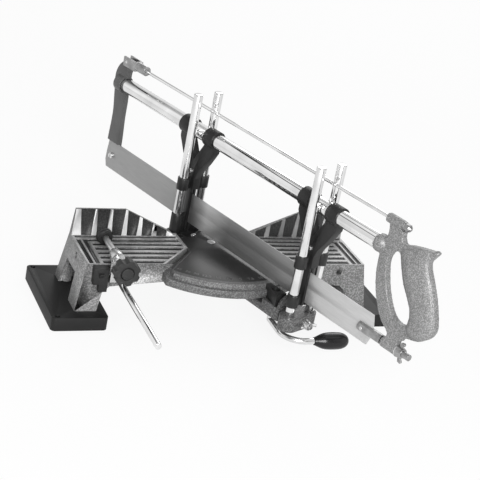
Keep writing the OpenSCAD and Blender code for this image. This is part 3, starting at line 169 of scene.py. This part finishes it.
# %% [markdown]
# ## The quadrant's paint
# The quadrant's top is cast smooth and sprayed with a plain dark gloss paint, and only its
# rim keeps the hammer finish. Both are one face of the casting, so the material asks how far
# a point lies from the pivot, and changes at the scale's outer line.

# %% Dark gloss with a hammertone rim
SCALE_R = 119.5
BLEND = 0.3
PEBBLE = 1.8
CLOUD = 30


def quadrant_paint():
    mat, tree, spot = material("dark gloss paint")
    around = add(tree, "Mapping", {"Vector": spot, "Location": (0, -PIVOT_Y*MM, 0),
                                   "Scale": (1, 1, 0)}).outputs["Vector"]
    reach = add(tree, "VectorMath", {0: around}, operation="LENGTH").outputs["Value"]
    rim = add(tree, "MapRange", {"Value": reach, "From Min": (SCALE_R - BLEND)*MM,
                                 "From Max": (SCALE_R + BLEND)*MM}).outputs["Result"]
    grain = add(tree, "TexNoise", {"Vector": spot, "Scale": 1000/PEBBLE, "Detail": 4.0}).outputs["Fac"]
    cloud = add(tree, "TexNoise", {"Vector": spot, "Scale": 1000/CLOUD, "Detail": 3.0}).outputs["Fac"]
    plain = add(tree, "ValToRGB", {"Fac": cloud}, [(0.3, linear("#181818")), (0.7, linear("#242424"))])
    rough = add(tree, "ValToRGB", {"Fac": grain},
                [(0.35, linear("#3C3C3C")), (0.65, linear("#666666"))])
    colour = add(tree, "MixRGB", {"Fac": rim, "Color1": plain.outputs[0], "Color2": rough.outputs[0]})
    gloss = add(tree, "MapRange", {"Value": rim, "To Min": 0.36, "To Max": 0.45}).outputs["Result"]
    bump = add(tree, "Bump", {"Strength": 0.3, "Distance": 0.03*MM, "Height": grain})
    shader = add(tree, "BsdfPrincipled", {"Base Color": colour.outputs["Color"], "Roughness": gloss,
                                          "Normal": bump.outputs["Normal"]})
    add(tree, "OutputMaterial", {"Surface": shader.outputs[0]})
    return mat


finishes["quadrant"] = quadrant_paint()
print("rim outside", SCALE_R, "mm from the pivot")

# %% [markdown]
# ## Machined lands
# The tops of the tables and the fence's raised strips are milled bare after painting. The
# cutter leaves very fine straight lines, and the metal is satin, a little patchy from
# handling. A noise of 60 cells in a metre, squeezed 30 times across the lines, makes them.
# They lie about half a millimetre apart, which is coarser than the real ones, so that they
# show at all. They run along X on the tables and upright on the left fence's strip, which
# is drawn brighter than the right's as a painted highlight.

# %% Milled aluminium
LINE_CELLS = 60.0
PATCH_CELLS = 45.0


def milled(name, dark, light, along=(1, 30, 30)):
    mat, tree, spot = material(name)
    stretched = add(tree, "Mapping", {"Vector": spot, "Scale": along}).outputs["Vector"]
    lines = add(tree, "TexNoise", {"Vector": stretched, "Scale": LINE_CELLS, "Detail": 4.0}).outputs["Fac"]
    patches = add(tree, "TexNoise", {"Vector": spot, "Scale": PATCH_CELLS, "Detail": 3.0}).outputs["Fac"]
    both = add(tree, "Math", {0: lines, 1: patches}, operation="ADD").outputs[0]
    half = add(tree, "MapRange", {"Value": both, "From Min": 0.75, "From Max": 1.25}).outputs["Result"]
    colour = add(tree, "ValToRGB", {"Fac": half}, [(0.0, linear(dark)), (1.0, linear(light))])
    bump = add(tree, "Bump", {"Strength": 0.2, "Distance": 0.02*MM, "Height": lines})
    shader = add(tree, "BsdfPrincipled", {"Base Color": colour.outputs[0], "Roughness": 0.4,
                                          "Metallic": 0.4, "Normal": bump.outputs["Normal"]})
    add(tree, "OutputMaterial", {"Surface": shader.outputs[0]})
    return mat


finishes["milled"] = milled("milled aluminium", "#969696", "#B6B6B6")
# The left fence's strips are drawn brighter than the other milled metal: a painted highlight.
finishes["milled_strip_highlight"] = milled("milled fence strip drawn brighter as a painted highlight", "#E6E6E6", "#FCFCFC", along=(30, 1, 1))
print("milled lines", 1000/LINE_CELLS/30, "mm apart")

# %% [markdown]
# ## Chrome, zinc and steel
# Posts, tube and rods are hard chrome on ground steel: a mirror that only shows the room.
# Zinc plate on the cast nuts is softer and a little cloudy, and turned steel is satin grey.
# The blade is ground spring steel, with very faint lines along its length. Its colour
# carries a painted reflection that changes slowly from end to end, bright at the handle and
# dull between the yokes, so one ramp runs along it from near its rear tip to near its front
# tip, and a slow noise nudges it. The grain of the plated metals is drawn about a millimetre
# coarse, and the blade's lines about half a millimetre apart, because the real ones are too
# fine to show.

# %% Bare and plated metals
GRAIN_CELLS = 900.0


def plated(name, dark, light, roughness, cloud=30.0, bump_mm=0.01):
    mat, tree, spot = material(name)
    clouds = add(tree, "TexNoise", {"Vector": spot, "Scale": cloud, "Detail": 4.0}).outputs["Fac"]
    fine = add(tree, "TexNoise", {"Vector": spot, "Scale": GRAIN_CELLS, "Detail": 2.0}).outputs["Fac"]
    colour = add(tree, "ValToRGB", {"Fac": clouds}, [(0.3, linear(dark)), (0.7, linear(light))])
    rough = add(tree, "MapRange", {"Value": clouds, "To Min": roughness*0.7,
                                   "To Max": roughness*1.5}).outputs["Result"]
    bump = add(tree, "Bump", {"Strength": 0.2, "Distance": bump_mm*MM, "Height": fine})
    shader = add(tree, "BsdfPrincipled", {"Base Color": colour.outputs[0], "Metallic": 1.0,
                                          "Roughness": rough, "Normal": bump.outputs["Normal"]})
    add(tree, "OutputMaterial", {"Surface": shader.outputs[0]})
    return mat


REAR_TIP = 310
FRONT_TIP = -260
NUDGE = 50
BLADE_CELLS = 40.0
SLOW_CELLS = 8.0


def ground_steel():
    mat, tree, spot = material("ground spring steel")
    turned = add(tree, "Mapping", {"Vector": spot, "Rotation": (0, 0, -MITRE)}).outputs["Vector"]
    drawn = add(tree, "Mapping", {"Vector": turned, "Scale": (40, 1, 40)}).outputs["Vector"]
    lines = add(tree, "TexNoise", {"Vector": drawn, "Scale": BLADE_CELLS, "Detail": 3.0}).outputs["Fac"]
    slow = add(tree, "TexNoise", {"Vector": turned, "Scale": SLOW_CELLS, "Detail": 1.0}).outputs["Fac"]
    along = add(tree, "SeparateXYZ", {"Vector": turned}).outputs["Y"]
    nudged = add(tree, "Math", {0: slow, 1: NUDGE*MM, 2: along}, operation="MULTIPLY_ADD").outputs[0]
    from_rear = add(tree, "MapRange", {"Value": nudged, "From Min": REAR_TIP*MM,
                                       "From Max": FRONT_TIP*MM}).outputs["Result"]
    # These stops are a painted reflection: bright and dull stretches along the blade.
    painted_reflection = add(tree, "ValToRGB", {"Fac": from_rear}, [
        (0.0, linear("#A4A4A4")), (1.0, linear("#CECECE")), (0.30, linear("#A4A4A4")),
        (0.36, linear("#7C7C7C")), (0.42, linear("#C4C4C4")), (0.50, linear("#8C8C8C")),
        (0.64, linear("#989898")), (0.74, linear("#A2A2A2")), (0.82, linear("#C6C6C6"))])
    streak = add(tree, "ValToRGB", {"Fac": lines}, [(0.35, linear("#F0F0F0")), (0.65, WHITE)])
    colour = add(tree, "MixRGB", {"Fac": 1.0, "Color1": painted_reflection.outputs[0], "Color2": streak.outputs[0]},
                 blend_type="MULTIPLY").outputs["Color"]
    bump = add(tree, "Bump", {"Strength": 0.12, "Distance": 0.01*MM, "Height": lines})
    shader = add(tree, "BsdfPrincipled", {"Base Color": colour, "Metallic": 0.6, "Roughness": 0.4,
                                          "Normal": bump.outputs["Normal"]})
    add(tree, "OutputMaterial", {"Surface": shader.outputs[0]})
    return mat


finishes["chrome"] = plated("hard chrome", "#DEDEDE", "#F6F6F6", 0.07)
finishes["zinc"] = plated("zinc plate on die casting", "#BDBDBD", "#E6E6E6", 0.26,
                          cloud=120.0, bump_mm=0.05)
finishes["satin"] = plated("satin turned steel", "#8E8E8E", "#B4B4B4", 0.34, cloud=100.0, bump_mm=0.04)
finishes["screw"] = plated("zinc plated steel", "#C0C0C0", "#EAEAEA", 0.2, cloud=90.0)
finishes["bright"] = plated("bright rolled thread", "#E4E4E4", "#FAFAFA", 0.3, cloud=90.0)
finishes["steel"] = ground_steel()
print("finishes so far", sorted(finishes))

# %% [markdown]
# ## Plastics and dark paint
# Yokes, lock block, feet, knob and grip are injection-moulded nylon or ABS. A spark-eroded
# mould leaves a fine even grain, so a small noise lifts the surface. It is drawn half a
# millimetre to a millimetre coarse, because the real one is too fine to show. A slow noise
# varies the shade and the gloss. The rear frame arm is pressed steel under dark paint, with
# a slightly coarser grain.

# %% Moulded plastic and paint
SHADE = 35


def moulded(name, dark, light, roughness, grain=0.45, lift=0.03):
    mat, tree, spot = material(name)
    fine = add(tree, "TexNoise", {"Vector": spot, "Scale": 1000/grain, "Detail": 2.0}).outputs["Fac"]
    slow = add(tree, "TexNoise", {"Vector": spot, "Scale": 1000/SHADE, "Detail": 3.0}).outputs["Fac"]
    colour = add(tree, "ValToRGB", {"Fac": slow}, [(0.3, linear(dark)), (0.7, linear(light))])
    rough = add(tree, "MapRange", {"Value": slow, "To Min": roughness*0.85,
                                   "To Max": roughness*1.15}).outputs["Result"]
    bump = add(tree, "Bump", {"Strength": 0.3, "Distance": lift*MM, "Height": fine})
    shader = add(tree, "BsdfPrincipled", {"Base Color": colour.outputs[0], "Roughness": rough,
                                          "IOR": 1.42, "Normal": bump.outputs["Normal"]})
    add(tree, "OutputMaterial", {"Surface": shader.outputs[0]})
    return mat


finishes["foot"] = moulded("moulded foot", "#0F0F0F", "#181818", 0.55, grain=0.9, lift=0.05)
finishes["black"] = moulded("moulded black nylon", "#181818", "#242424", 0.45)
finishes["knob"] = moulded("moulded knob", "#262626", "#343434", 0.45)
finishes["grip"] = moulded("glossy moulded grip", "#121212", "#1C1C1C", 0.2)
finishes["frame_arm"] = moulded("dark paint on pressed steel", "#4E4E4E", "#5E5E5E", 0.38, grain=1.2)
print("finishes", sorted(finishes))

# %% [markdown]
# ## Soft edges
# A casting or a moulding never has a sharp corner: sand, paint and draft round it, and the
# thin bright line along each edge is much of what makes metal look real. The frame's own
# solids have true shapes but sharp corners. So a copy of each is welded, its flat faces are
# joined, and a narrow bevel is cut on every edge that turns by more than 30 degrees. A copy
# brings the frame's own marks along, so they are taken off it.

# %% Copy a solid and soften its edges
SHARP = math.radians(30)
SMOOTH = math.radians(35)
FLAT = math.radians(0.5)
WELD = 0.001


def only(obj):
    bpy.ops.object.select_all(action="DESELECT")
    obj.select_set(True)
    bpy.context.view_layer.objects.active = obj


def welded_copy(node, name, joined=True):
    piece = nodes[node].copy()
    piece.data = nodes[node].data.copy()
    piece.name = name
    piece.parent = None
    for key in list(piece.keys()):
        del piece[key]
    bpy.context.scene.collection.objects.link(piece)
    piece.data.materials.clear()
    only(piece)
    bpy.ops.object.mode_set(mode="EDIT")
    bpy.ops.mesh.select_all(action="SELECT")
    bpy.ops.mesh.remove_doubles(threshold=WELD*MM)
    if joined:
        bpy.ops.mesh.dissolve_limited(angle_limit=FLAT)
    bpy.ops.mesh.select_all(action="DESELECT")
    bpy.ops.object.mode_set(mode="OBJECT")
    return piece


def apply_all(piece):
    only(piece)
    for modifier in list(piece.modifiers):
        bpy.ops.object.modifier_apply(modifier=modifier.name)


def bevelled(piece, width, mitre="MITER_ARC"):
    bevel = piece.modifiers.new("edges", "BEVEL")
    bevel.width = width*MM
    bevel.segments = 2
    bevel.limit_method = "ANGLE"
    bevel.angle_limit = SHARP
    bevel.miter_outer = mitre
    apply_all(piece)
    bpy.ops.object.shade_smooth_by_angle(angle=SMOOTH)


def dress(piece, finish, body, slot, *replaced):
    if finish:
        piece.data.materials.clear()
        piece.data.materials.append(finishes[finish])
    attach(piece, body)
    if replaced:
        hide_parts(*replaced)


def soften(node, width, finish):
    piece = welded_copy(node, node + "_skin")
    bevelled(piece, width)
    dress(piece, finish, body_of[node], slot_of[node], node)


edge_widths = {
    "left_foot": 2.2, "right_foot": 2.2, "swing_arm": 0.9, "front_post_holder": 0.9,
    "rear_post_seat": 0.7, "lock_block": 0.6, "bar_holder": 0.6, "front_guide": 0.6,
    "rear_guide": 0.6, "rear_frame_arm": 0.7, "rod_clevis": 0.5, "blade_clevis": 0.5,
    "saw_tube": 0.25, "clamp_bracket": 0.5, "bracket_nut": 0.4, "clamp_knob": 0.8,
    "knob_cap": 0.4, "clamp_pad": 0.7, "clamp_bar": 0.6, "clamp_screw": 0.4,
    "pivot_bolt": 0.5, "pivot_washer": 0.3, "stop_screw": 0.25, "seat_screw": 0.3,
    "foot_screws": 0.3, "bar_holder_screw": 0.2, "bracket_screw": 0.2, "cap_nut": 0.3,
    "tension_rod": 0.2, "rod_pin": 0.3, "clevis_pin": 0.3, "tension_stud": 0.4,
    "stud_washer": 0.2, "holder_stud": 0.4, "blade_screw": 0.3, "front_guide_screws": 0.2,
    "rear_guide_screws": 0.2, "rear_post_left": 0.3, "rear_post_right": 0.3,
    "front_post_left": 0.3, "front_post_right": 0.3, "lever_rod": 0.3, "lever_grip": 0.4,
    "tension_wing_nut": 0.5, "holder_wing_nut": 0.5, "blade": 0.08, "quadrant_plug": 0.4,
}
own_finish = {
    "rod_clevis": "satin", "blade_clevis": "satin", "cap_nut": "satin", "tension_stud": "satin",
    "holder_stud": "satin", "tension_wing_nut": "satin", "tension_rod": "chrome",
    "quadrant_plug": "milled", "bar_holder_screw": "black", "clamp_screw": "bright",
}
for node, width in edge_widths.items():
    soften(node, width, own_finish.get(node, slot_of[node]))
print("softened", len(edge_widths))

# %% [markdown]
# ## The bed
# The bed is one casting, which the frame holds as five solids: two tables, two halves of the
# fence and the quadrant. Each table is joined with its half of the fence here. The casting
# carries several finishes: hammer paint all over, drawn darker on the quadrant's sides as
# painted shade, milled table tops, milled strips on the fence, the left ones drawn brighter
# as a painted highlight, plain gloss on the quadrant, and painted shade down in the grooves
# and the fence's pockets, where the light doesn't reach. They meet along the edges of faces,
# so each face gets its finish by its place and by the way it looks, before the edges are
# softened. A face looks up or to the front when its normal points within about 25 degrees of
# that way.

# %% Bed finishes by face
FACING = 0.9
NEAR = 0.1
POCKET_DEPTH = 2
CAST_EDGE = 0.4
bed_finishes = ["casting", "pocket_shade", "groove", "milled", "milled_strip_highlight", "quadrant"]


def bed_finish(centre, normal):
    looks_up = normal.z > FACING
    looks_front = normal.y < -FACING
    if looks_up and abs(centre.z - QUADRANT) < NEAR:
        return "quadrant"
    if looks_up and abs(centre.z - TABLE) < NEAR:
        return "milled"
    # Strips on the left fence get the painted highlight, and the right ones keep plain milled metal.
    if looks_front and abs(centre.y - FENCE_FACE) < NEAR and centre.z > TABLE:
        return "milled_strip_highlight" if centre.x < 0 else "milled"
    # Groove floors get the painted shade.
    if looks_up and QUADRANT < centre.z < TABLE:
        return "groove"
    # Pocket walls just behind the fence's face get the painted shade.
    behind_face = FENCE_FACE < centre.y < FENCE_FACE + POCKET_DEPTH
    if looks_front and behind_face and centre.z > TABLE - POCKET_DEPTH:
        return "pocket_shade"
    return "casting"


def one_casting(name, paint, *parts):
    whole = welded_copy(parts[0], name, joined=False)
    for part in parts[1:]:
        other = welded_copy(part, part + "_copy", joined=False)
        union = whole.modifiers.new("union", "BOOLEAN")
        union.operation = "UNION"
        union.solver = "EXACT"
        union.object = other
        apply_all(whole)
        bpy.data.objects.remove(other)
    whole.data.materials.clear()
    for key in bed_finishes:
        whole.data.materials.append(finishes[paint if key == "casting" else key])
    for face in whole.data.polygons:
        face.material_index = bed_finishes.index(bed_finish(face.center/MM, face.normal))
    bevelled(whole, CAST_EDGE, mitre="MITER_SHARP")
    print(name, "faces", len(whole.data.polygons))
    dress(whole, None, "base", "casting", *parts)


one_casting("left_bed_skin", "casting", "left_table", "left_fence")
one_casting("right_bed_skin", "casting", "right_table", "right_fence")
# The quadrant's sides take the darker copy of the paint, as painted shade.
one_casting("quadrant_skin", "ledge", "quadrant")

# %% [markdown]
# ## The quadrant's scale
# The scale is cast in relief. A fine ridge frames the dark field, along the arc and along
# the slanted side of each table, and plain angle numbers stand just inside it. The arc is a
# small upright plane, spun about the pivot. The outer numbers are moved a few degrees
# inwards, where the tables' sides leave room for them. All of it sinks a little into the
# top, so that no gap shows under it, and becomes one low piece.

# %% Ridges and numerals
RISE = 0.35
SINK = 0.15
RELIEF = RISE + SINK
MIDDLE = QUADRANT + (RISE - SINK)/2
ARC_END = math.radians(43.4)
RIDGE = 0.8
RIDGE_FRONT = (82.3, -56)
RIDGE_REAR = (41.7, -6.6)
NUMERAL = 7.5
NUMERAL_R = 112
numerals = {"45": 41, "36": 35, "30": 29.5, "22.5": 22.5, "15": 15, "7.5": 7.5}
finishes["relief"] = moulded("dark gloss paint on the scale's relief", "#4C4C4C", "#626262", 0.3)


def settle(piece):
    only(piece)
    bpy.ops.object.transform_apply(location=True, rotation=True, scale=True)
    return piece


def close_up():
    bpy.ops.mesh.select_all(action="SELECT")
    bpy.ops.mesh.remove_doubles(threshold=WELD/10*MM)
    bpy.ops.mesh.normals_make_consistent(inside=False)
    bpy.ops.object.mode_set(mode="OBJECT")


def arc_ridge():
    start = Vector((-SCALE_R*math.sin(ARC_END), PIVOT_Y - SCALE_R*math.cos(ARC_END), MIDDLE))
    bpy.ops.mesh.primitive_plane_add(size=1, location=start*MM,
                                     rotation=(math.pi/2, 0, -ARC_END - math.pi/2))
    piece = bpy.context.object
    piece.scale = (RIDGE*MM, RELIEF*MM, 1)
    settle(piece)
    bpy.ops.object.mode_set(mode="EDIT")
    bpy.ops.mesh.select_all(action="SELECT")
    bpy.ops.mesh.spin(steps=64, angle=2*ARC_END, center=(0, PIVOT_Y*MM, 0), axis=(0, 0, 1))
    close_up()
    return piece


def straight_ridge(side):
    front = Vector((side*RIDGE_FRONT[0], RIDGE_FRONT[1], MIDDLE))
    rear = Vector((side*RIDGE_REAR[0], RIDGE_REAR[1], MIDDLE))
    run = rear - front
    bpy.ops.mesh.primitive_cube_add(size=1, location=(front + rear)/2*MM,
                                    rotation=(0, 0, math.atan2(run.y, run.x)))
    piece = bpy.context.object
    piece.scale = (run.length*MM, RIDGE*MM, RELIEF*MM)
    return settle(piece)


def numeral(words, angle):
    turn = math.radians(angle)
    bpy.ops.object.text_add()
    piece = bpy.context.object
    piece.data.body = words
    piece.data.size = NUMERAL*MM
    piece.data.extrude = RELIEF/2*MM
    piece.data.resolution_u = 4
    piece.data.align_x = "CENTER"
    piece.data.align_y = "CENTER"
    bpy.ops.object.convert(target="MESH")
    piece = bpy.context.object
    bpy.ops.object.mode_set(mode="EDIT")
    close_up()
    piece.location = Vector((NUMERAL_R*math.sin(turn), PIVOT_Y - NUMERAL_R*math.cos(turn), MIDDLE))*MM
    piece.rotation_euler = (0, 0, turn)
    return settle(piece)


relief = [arc_ridge()]
for side in (-1, 1):
    relief.append(straight_ridge(side))
    for words, angle in numerals.items():
        relief.append(numeral(words, side*angle))
relief.append(numeral("0", 0))
bpy.ops.object.select_all(action="DESELECT")
for piece in relief:
    piece.select_set(True)
bpy.context.view_layer.objects.active = relief[0]
bpy.ops.object.join()
scale = bpy.context.object
scale.name = "scale_relief"
dress(scale, "relief", "base", "casting")
print("scale faces", len(scale.data.polygons))

# %% [markdown]
# ## The handle
# The D handle is a sand casting, ground and painted, so its parts melt into each other. A
# bevel can't round where the grip grows out of the frame. The copy is rebuilt from small
# even cells instead, and smoothed, which fills the inner corners as a fillet does.

# %% Cast handle
HANDLE_CELL = 0.9
handle = welded_copy("saw_handle", "handle_skin")
cells = handle.modifiers.new("cells", "REMESH")
cells.mode = "VOXEL"
cells.voxel_size = HANDLE_CELL*MM
blur = handle.modifiers.new("blur", "SMOOTH")
blur.factor = 0.5
blur.iterations = 5
apply_all(handle)
bpy.ops.object.shade_smooth()
dress(handle, "handle", "saw", "handle", "saw_handle")
print("handle faces", len(handle.data.polygons))

# %% [markdown]
# ## Camera
# The photograph looks down on the saw from the left, with a long lens, and the camera is
# rolled a little, so that upright posts lean. The directions below were solved from the
# bed's own right angles.

# %% Camera
eye = Vector((-736.8, -1626.3, 891.6))*MM
forward = Vector((0.3884, 0.827, -0.4064)).normalized()
level = forward.cross(Vector((0, 0, 1))).normalized()
upright = level.cross(forward)
roll = math.radians(11.39)
right = level*math.cos(roll) + upright*math.sin(roll)
up = upright*math.cos(roll) - level*math.sin(roll)
print("camera", eye, "looking along", forward)
camera = bpy.data.objects.new("camera", bpy.data.cameras.new("camera"))
bpy.context.scene.collection.objects.link(camera)
camera.matrix_world = Matrix.Translation(eye) @ Matrix((right, up, -forward)).transposed().to_4x4()
camera.data.sensor_width = 36
camera.data.lens = 112.59
camera.data.clip_end = 50
bpy.context.scene.camera = camera

# %% [markdown]
# ## Room
# A studio shot on white: an even soft light from all round, and white where the camera
# looks past the saw. Polished metal shows the room, and a room with nothing dark in it
# makes chrome look like plaster. So what glossy rays see has a few dark bands.

# %% World
ROOM_LIGHT = 0.56


def studio_world():
    world = bpy.data.worlds.new("studio")
    bpy.context.scene.world = world
    world.use_nodes = True
    tree = world.node_tree
    tree.nodes.clear()
    rays = add(tree, "LightPath").outputs
    direction = add(tree, "TexCoord").outputs["Generated"]
    around = add(tree, "TexGradient", {"Vector": direction}, gradient_type="RADIAL").outputs["Fac"]
    grey = linear("#E8E8E8")
    bands = add(tree, "ValToRGB", {"Fac": around}, [
        (0.0, grey), (1.0, grey), (0.08, linear("#707070")), (0.14, WHITE), (0.26, WHITE),
        (0.31, linear("#9A9A9A")), (0.36, WHITE), (0.47, WHITE), (0.52, linear("#585858")),
        (0.58, WHITE), (0.72, grey), (0.78, linear("#7A7A7A")), (0.86, WHITE)])
    height = add(tree, "SeparateXYZ", {"Vector": direction}).outputs["Z"]
    lintel = add(tree, "ValToRGB", {"Fac": height}, [
        (0.0, WHITE), (1.0, WHITE), (0.68, WHITE), (0.72, linear("#303030")),
        (0.76, linear("#303030")), (0.80, WHITE)])
    room = add(tree, "MixRGB", {"Fac": 1.0, "Color1": bands.outputs[0], "Color2": lintel.outputs[0]},
               blend_type="MULTIPLY").outputs["Color"]
    glossy = add(tree, "Background", {"Color": room, "Strength": 1.0}).outputs[0]
    soft = add(tree, "Background", {"Color": WHITE, "Strength": ROOM_LIGHT}).outputs[0]
    backdrop = add(tree, "Background", {"Color": WHITE, "Strength": 1.0}).outputs[0]
    lit = add(tree, "MixShader", {"Fac": rays["Is Glossy Ray"], 1: soft, 2: glossy}).outputs[0]
    seen = add(tree, "MixShader", {"Fac": rays["Is Camera Ray"], 1: lit, 2: backdrop}).outputs[0]
    add(tree, "OutputWorld", {"Surface": seen})


studio_world()
print("room light", ROOM_LIGHT)

# %% [markdown]
# ## Floor
# The saw stands on white paper. The paper glows for the camera, which keeps it near white,
# and only a share of it is shaded, so that a faint shadow still grounds the feet.

# %% Floor
FLOOR_R = 9
GLOW_SEEN = 0.88
GLOW_MIRRORED = 0.45


def studio_floor():
    bpy.ops.mesh.primitive_circle_add(vertices=96, radius=FLOOR_R, fill_type="NGON", location=(0, 0, 0))
    floor = bpy.context.object
    floor.name = "floor"
    mat, tree = material("white paper floor")[:2]
    rays = add(tree, "LightPath").outputs
    paper = add(tree, "BsdfDiffuse", {"Color": linear("#F2F2F2")}).outputs[0]
    glow = add(tree, "Emission", {"Color": WHITE, "Strength": 1.0}).outputs[0]
    mirrored = add(tree, "Math", {0: rays["Is Glossy Ray"], 1: GLOW_MIRRORED},
                   operation="MULTIPLY").outputs[0]
    share = add(tree, "Math", {0: rays["Is Camera Ray"], 1: GLOW_SEEN, 2: mirrored},
                operation="MULTIPLY_ADD").outputs[0]
    mixed = add(tree, "MixShader", {"Fac": share, 1: paper, 2: glow}).outputs[0]
    add(tree, "OutputMaterial", {"Surface": mixed})
    floor.data.materials.append(mat)


studio_floor()
print("floor", FLOOR_R, "m in radius")

# %% [markdown]
# ## Lamps
# A broad key from the front left lights the bed's front and the handle, and a weaker lamp
# behind on the right keeps the far sides from going flat. Both are wide discs, so that
# shadows have soft edges.

# %% Lamps
AIM = Vector((0, -0.05, 0.1))


def soft_lamp(name, where, size, power):
    lamp = bpy.data.lights.new(name, "AREA")
    lamp.shape = "DISK"
    lamp.size = size
    lamp.energy = power
    lamp_object = bpy.data.objects.new(name, lamp)
    bpy.context.scene.collection.objects.link(lamp_object)
    lamp_object.location = where
    lamp_object.rotation_euler = (AIM - Vector(where)).to_track_quat("-Z", "Y").to_euler()


soft_lamp("key", (-0.6, -2.4, 1.2), size=1.4, power=56)
soft_lamp("back", (1.2, 1.8, 1.6), size=1.4, power=12)
print("lamps aim at", AIM)

# %% [markdown]
# ## The end
# The view transform is set to Standard.

# %% The end
bpy.context.scene.view_settings.view_transform = "Standard"
